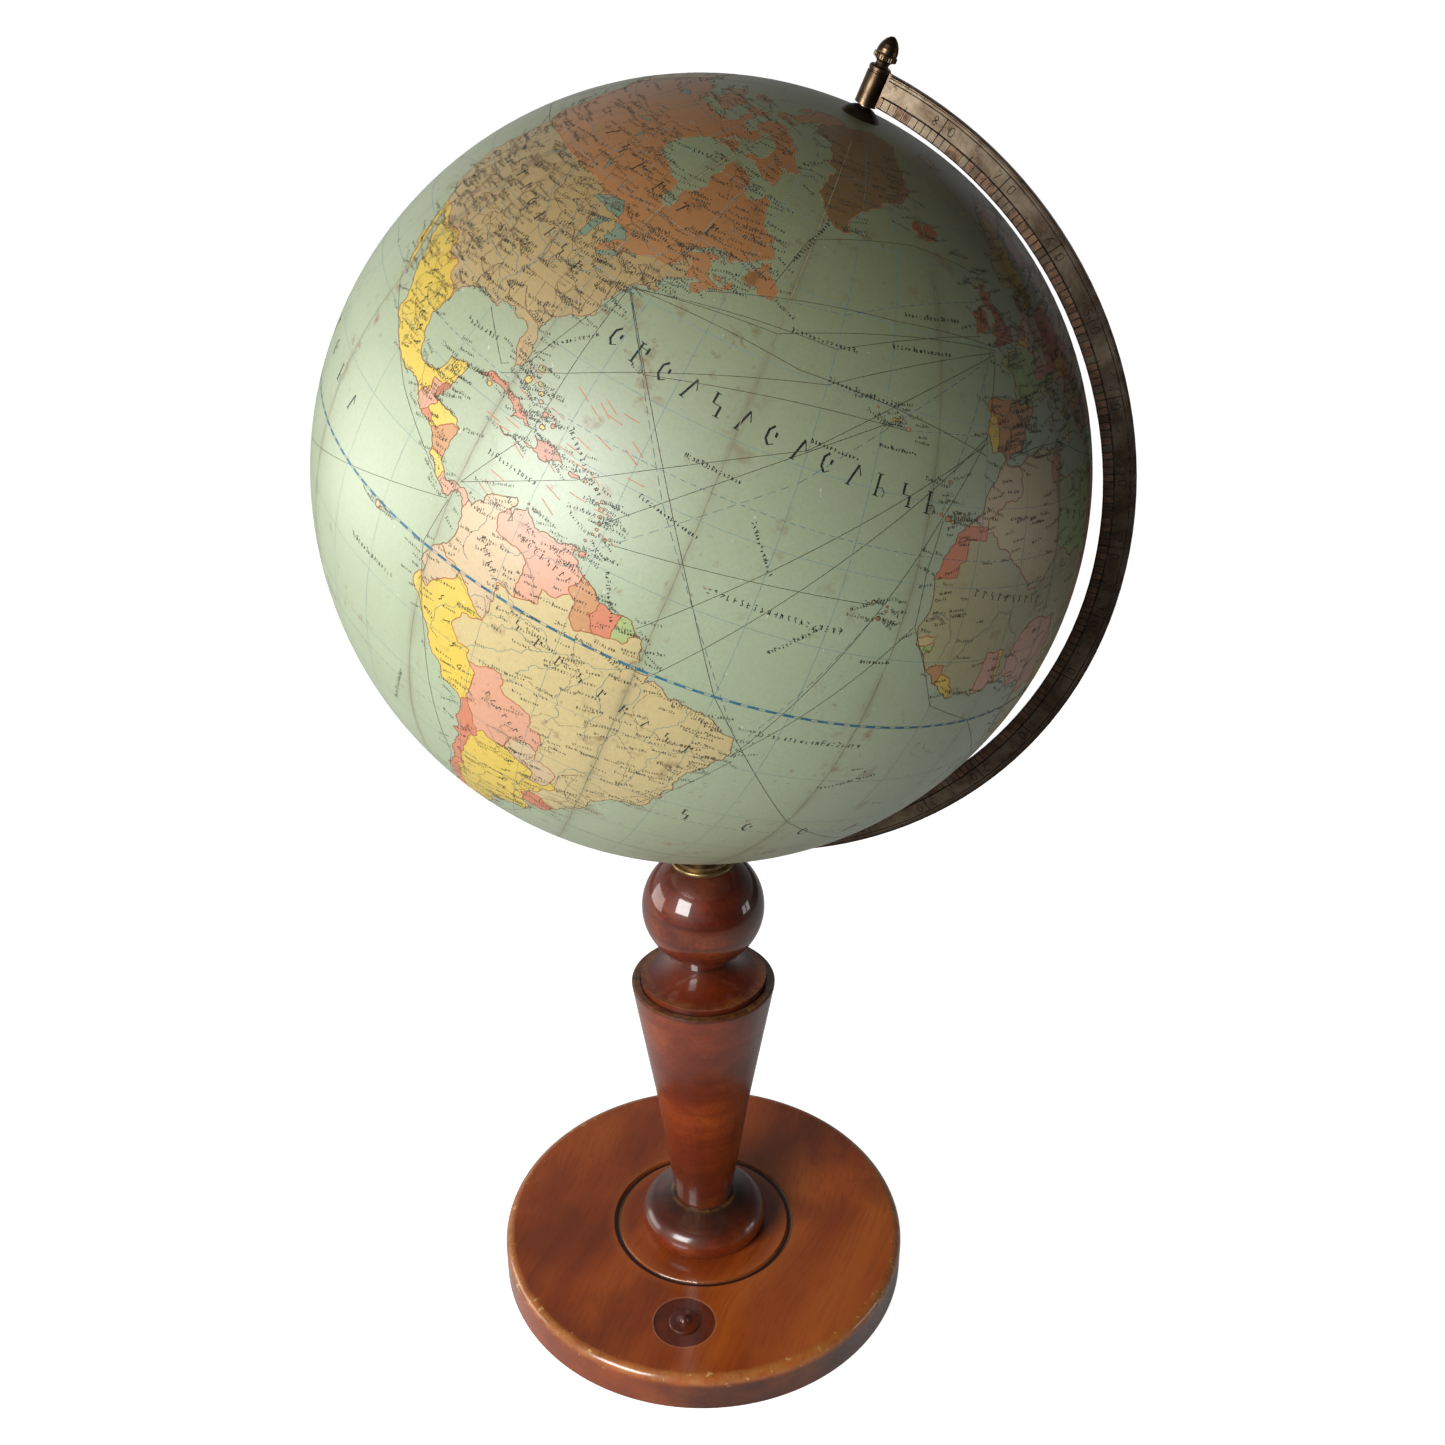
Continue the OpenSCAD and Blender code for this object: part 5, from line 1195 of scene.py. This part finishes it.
def add_scale():
    ink = inked("scale_ink", (0.010, 0.007, 0.006), 0.8, 0.05)
    brown = inked("scale_brown", (0.022, 0.013, 0.009), 0.8, 0.05)
    grimy = aged_brass("scale_grime", (0.17, 0.10, 0.060), (0.060, 0.034, 0.022), 0.3, 0.6, 200.0)
    dice = random.Random(11)
    for face, label in ((-1, "front"), (1, "back")):
        lines, edges, grime = Engraving(face), Engraving(face), Engraving(face)
        grime.lift -= 0.01 * MM
        for degree in range(-88, 89):
            if degree % 10 == 0:
                reach, width = FIELD_OUT, 0.42
            elif degree % 5 == 0:
                reach, width = BOX_OUT + 1.5, 0.36
            else:
                reach, width = BOX_OUT, 0.34
            lines.tick(degree, BAND_IN + 0.15, reach, width)
            if dice.random() < 0.7:
                grime.tick(degree + 0.5, BAND_IN + 0.4, BOX_OUT - 0.2, 2.3)
        lines.arc(BAND_IN + 0.22, 0.40)
        lines.arc(BOX_OUT, 0.62)
        lines.arc(FIELD_OUT, 0.42)
        for degree in range(-80, 81, 10):
            text = str(abs(degree))
            shifts = (-face * 1.2, face * 1.2) if len(text) == 2 else (1.1,)
            for figure, shift in zip(text, shifts):
                lines.digit(figure, degree + shift, BOX_OUT + 1.5, FIELD_OUT - 1.4, 0.34)
        edges.arc(BAND_OUT - 1.25, 0.30)
        edges.arc(BAND_OUT - 0.42, 0.78)
        lines.finish("scale_lines_" + label, ink)
        edges.finish("scale_edges_" + label, brown)
        grime.finish("scale_boxes_" + label, grimy)


# ---------------------------------------------------------------- finishes of the CAD pieces
GROOVE_R = 0.0480  # radius of the base's ring groove
BASE_EDGE_R = 0.0046  # rounding of the base's upper edge
RED, BROWN, AMBER = (0.145, 0.0180, 0.0026), (0.245, 0.034, 0.0040), (0.37, 0.076, 0.0090)


def dress(material, *nodes):
    for node in nodes:
        materials = frame["nodes"][node].data.materials
        if len(materials) == 0:
            materials.append(material)
        for i in range(len(materials)):
            materials[i] = material


def dress_all():
    base_top, foot_top, rim_z = (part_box(node)[1][2] for node in ("base_disc", "foot_cushion", "column"))
    base = polished_wood("base_varnish", (0.262, 0.041, 0.0045), (0.38, 0.068, 0.0066), (0.50, 0.112, 0.012),
                         (1.0, 0.10, 1.0), gloss=0.15, blotch=17.0, turned=0.0, fibre=0.26)
    wear_base(base, base_top)
    dress(base, "base_disc")
    dress(polished_wood("plug_varnish", (0.085, 0.012, 0.003), (0.15, 0.022, 0.004), (0.21, 0.038, 0.007),
                        (1.0, 0.3, 1.0), gloss=0.2, blotch=60.0, turned=0.0), "base_plug")
    # painted shade: the foot is darkened over its upper part, where the column stands on it, and in a band low down,
    # where it meets the base
    dress(polished_wood("foot_varnish", RED, BROWN, AMBER, (1.0, 1.0, 0.5), gloss=0.17,
                        worn=[(foot_top - 0.0003, 0.0006, 0.35)],
                        dark_bands=[(foot_top, 0.0150, 1.0), (foot_top, 0.0110, 0.9), (0.0238, 0.0025, 0.8)]),
          "foot_cushion")
    # the column is darker towards its bottom, and a band of painted shade lies at the rim's top, under the ball's
    # collar
    dress(polished_wood("column_varnish", RED, BROWN, AMBER, (1.0, 1.0, 1.6), gloss=0.14, blotch=20.0,
                        worn=[(rim_z, 0.0007, 0.35)],
                        dark_bands=[(foot_top, 0.075, 0.55), (rim_z, 0.0019, 0.95)]), "column")
    # painted shade: dark bands where the collar sits on the column's rim, at the neck above the collar, and round the
    # ferrule on top of the ball
    dress(polished_wood("ball_varnish", (0.075, 0.008, 0.0010), (0.145, 0.015, 0.0015), (0.27, 0.045, 0.0040),
                        (1.0, 1.0, 0.8), gloss=0.07, blotch=18.0, turned=1.0,
                        worn=[(0.1912, 0.0006, 0.35)],
                        dark_bands=[(0.2008, 0.0030, 0.7), (0.1876, 0.0016, 0.7), (0.2600, 0.0120, 0.75)]), "ball_top")
    dress(aged_brass("ferrule_brass", (0.44, 0.31, 0.15), (0.16, 0.10, 0.04), 0.28, 0.55), "ferrule")
    dress(meridian_face(), "meridian_band")
    dress(aged_brass("sleeve_metal", (0.195, 0.135, 0.078), (0.070, 0.043, 0.025), 0.22, 0.6, 90.0),
          "north_sleeve", "south_sleeve", "finial", "south_nut", "meridian_grip")
    dress(aged_brass("cap_metal", (0.13, 0.095, 0.060), (0.035, 0.027, 0.020), 0.30, 0.7, 110.0),
          "north_cap", "south_cap")
    dress(dull_steel(), "base_screw", "base_washer", "clamp_stud", "grip_screw", "grip_nut", "axle_rod")
    dress(raw_wood(), "north_block", "south_block", "inner_post", "joint_band")
    dress(pasteboard(), "shell_north", "shell_south")
    dress(green_felt(), "base_felt")


def wear_base(material, top):
    """Golden line with chips where the varnish has rubbed off the base's upper edge, grime on its side that painted
    shade makes heavier towards the right, a ring groove filled with painted shade and ringed by a painted warm
    highlight, and a pale line round the plug."""
    g = Graph(material)
    radius = g.radius()
    z = g.axes()[2]
    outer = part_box("base_disc")[1][0]
    # how far out and up a place is, from the centre of the edge's rounding
    slope = g.math("ADD", g.math("SUBTRACT", radius, outer - BASE_EDGE_R), g.math("SUBTRACT", z, top - BASE_EDGE_R))
    ragged = g.ramp(g.noise(120.0, 6.0, 0.75), (0.36, 0.15), (0.60, 1.0))
    chips = g.ramp(g.noise(210.0, 3.0, 0.6), (0.62, 0.0), (0.66, 1.0))
    side = g.math("SUBTRACT", 1.0, g.above(z, top - 0.0065, top - 0.0030))
    dirt = g.ramp(g.noise(38.0, 4.0, 0.6, 0.3), (0.36, 1.0), (0.62, 0.72))
    # painted shade: the grime on the base's side is made heavier from the left, where the light comes from, towards the
    # right
    across = g.measure("DOT_PRODUCT", g.coords, tuple(TURN @ Vector((1.0, 0.0, 0.0))))
    shade_to_right = g.math("ADD", 0.04, g.times(g.above(across, -0.062, 0.0), 0.92))
    low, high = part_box("base_plug")
    away = g.measure("DISTANCE", g.coords, ((low[0] + high[0]) / 2, (low[1] + high[1]) / 2, top))
    plug_edge = g.band(away, (high[0] - low[0]) / 2 + 0.0003, 0.0008)
    # painted shade: the ring groove is filled with a near-black colour
    groove_shade = g.math("MULTIPLY", g.band(radius, GROOVE_R, 0.0021), 1.3, clamp=True)
    body = g.shader.inputs["Base Color"].links[0].from_socket
    for mask, colour in ((g.times(side, dirt, shade_to_right), (0.050, 0.009, 0.003)),
                         # painted highlight: a warm orange glow round the groove
                         (g.times(g.band(radius, GROOVE_R, 0.0065), 0.50), (0.46, 0.125, 0.018)),
                         (groove_shade, (0.022, 0.006, 0.002)),
                         (g.times(plug_edge, 0.45), (0.42, 0.22, 0.11)),
                         (g.times(g.band(slope, 0.0063, 0.0021), ragged, 0.72), (0.50, 0.22, 0.055)),
                         (g.times(g.band(slope, 0.0060, 0.0032), chips), (0.62, 0.36, 0.13))):
        body = g.mix(mask, body, colour)
    g.set("Base Color", body)


# ---------------------------------------------------------------- camera, light, floor
def add_camera():
    az = math.radians(CAMERA_AZIMUTH)
    data = bpy.data.cameras.new("camera")
    data.sensor_width = 36.0
    data.lens = CAMERA_LENS
    cam = bpy.data.objects.new("camera", data)
    bpy.context.scene.collection.objects.link(cam)
    yaw = az + math.radians(-CAMERA_YAW)
    look = (Matrix.Rotation(yaw, 4, "Z") @ Matrix.Rotation(math.radians(90 - CAMERA_PITCH), 4, "X")
            @ Matrix.Rotation(math.radians(CAMERA_ROLL), 4, "Z"))
    spot = Vector((CAMERA_DISTANCE * math.sin(az), -CAMERA_DISTANCE * math.cos(az), CAMERA_HEIGHT))
    cam.matrix_world = Matrix.Translation(spot) @ look
    bpy.context.scene.camera = cam


def add_area(name, spot, target, size, power, colour):
    """spot and target are given with the camera looking along +Y, in metres; power in watts."""
    data = bpy.data.lights.new(name, "AREA")
    data.shape = "RECTANGLE"
    data.size, data.size_y = size
    data.energy = power
    data.color = colour
    lamp = bpy.data.objects.new(name, data)
    bpy.context.scene.collection.objects.link(lamp)
    lamp.location = TURN @ Vector(spot)
    aim = TURN @ Vector(target) - lamp.location
    lamp.rotation_euler = aim.to_track_quat("-Z", "Y").to_euler()


def add_lights():
    add_area("key_window", (-1.24, -1.46, 0.97), (0, 0, 0.38), (0.92, 0.92), 45, (0.985, 0.99, 1.0))
    add_area("side_glow", (-1.90, 0.30, 0.30), (0, 0, 0.35), (1.20, 0.90), 13, (1.0, 0.99, 0.96))
    for name, y in (("far_window_0", -0.31), ("far_window_2", -0.01)):
        add_area(name, (1.70, y, 0.16), (0, 0, 0.25), (0.22, 0.40), 0.9, (0.94, 0.97, 1.0))


def add_world():
    """A dim room, lighter low down on the window's side and at a white sheet behind; the camera sees it white."""
    world = bpy.data.worlds.new("studio")
    world.use_nodes = True
    g = Nodes(world.node_tree)
    coords = g.add("ShaderNodeTexCoord").outputs["Generated"]
    split = g.add("ShaderNodeSeparateXYZ")
    g.put(split.inputs[0], coords)
    low = g.math("SUBTRACT", 1.0, g.times(split.outputs["Z"], 1.6), clamp=True)

    def towards(*way):
        """1 in that direction, 0 at right angles to it; given with the camera looking along +Y."""
        aim = tuple((TURN @ Vector(way)).normalized())
        return g.math("MAXIMUM", g.measure("DOT_PRODUCT", coords, aim), 0.0)

    window = g.times(towards(-0.86, -0.50, 0.0), low, 0.32)
    behind = g.times(towards(0.25, 0.95, 0.0), low, 0.30)
    sheet = g.times(g.math("POWER", towards(-0.45, 0.85, 0.28), 6.0), 0.42)
    dim = g.math("ADD", g.math("ADD", g.math("ADD", window, behind), sheet), 0.025)
    seen = g.add("ShaderNodeLightPath").outputs["Is Camera Ray"]
    g.put(g.tree.nodes["Background"].inputs["Color"], g.math("MAXIMUM", dim, seen))
    bpy.context.scene.world = world
    bpy.context.scene.view_settings.view_transform = "Standard"


def add_floor():
    """White paper that ends in a dim room: the camera sees white everywhere, the object only near it."""
    mesh = bpy.data.meshes.new("floor")
    far_off = 40.0
    mesh.from_pydata([(x * far_off, y * far_off, 0) for x, y in ((-1, -1), (1, -1), (1, 1), (-1, 1))], [], [(0, 1, 2, 3)])
    floor = bpy.data.objects.new("floor", mesh)
    bpy.context.scene.collection.objects.link(floor)
    g = Graph("floor_paper", Roughness=0.9, Specular_IOR_Level=0.1)
    seen = g.add("ShaderNodeLightPath").outputs["Is Camera Ray"]
    away = g.measure("DISTANCE", g.coords, tuple(TURN @ Vector((-0.10, 0.40, 0.0))))
    far = g.above(away, 0.80, 1.15)
    pale = g.mix(g.noise(3.0, 2.0), (0.45, 0.44, 0.42), (0.47, 0.46, 0.44))
    g.set("Base Color", g.mix(g.math("SUBTRACT", far, seen, clamp=True), pale, (0.04, 0.04, 0.04)))
    g.set("Emission Color", (1.0, 1.0, 1.0))
    near = g.times(g.math("SUBTRACT", 1.0, far), 0.13)
    g.set("Emission Strength", g.math("MAXIMUM", near, g.times(seen, 0.98)))
    mesh.materials.append(g.mat)




# ---------------------------------------------------------------- build
def build():
    coasts, lakes, borders, states, rivers = draw_lines()
    add_map(coasts, lakes, borders)
    add_outlines(coasts, lakes, borders, states, rivers)
    add_grid()
    add_routes()
    add_lettering(coasts)
    add_scale()
    dress_all()
    add_camera()
    add_world()
    add_floor()
    add_lights()


build()
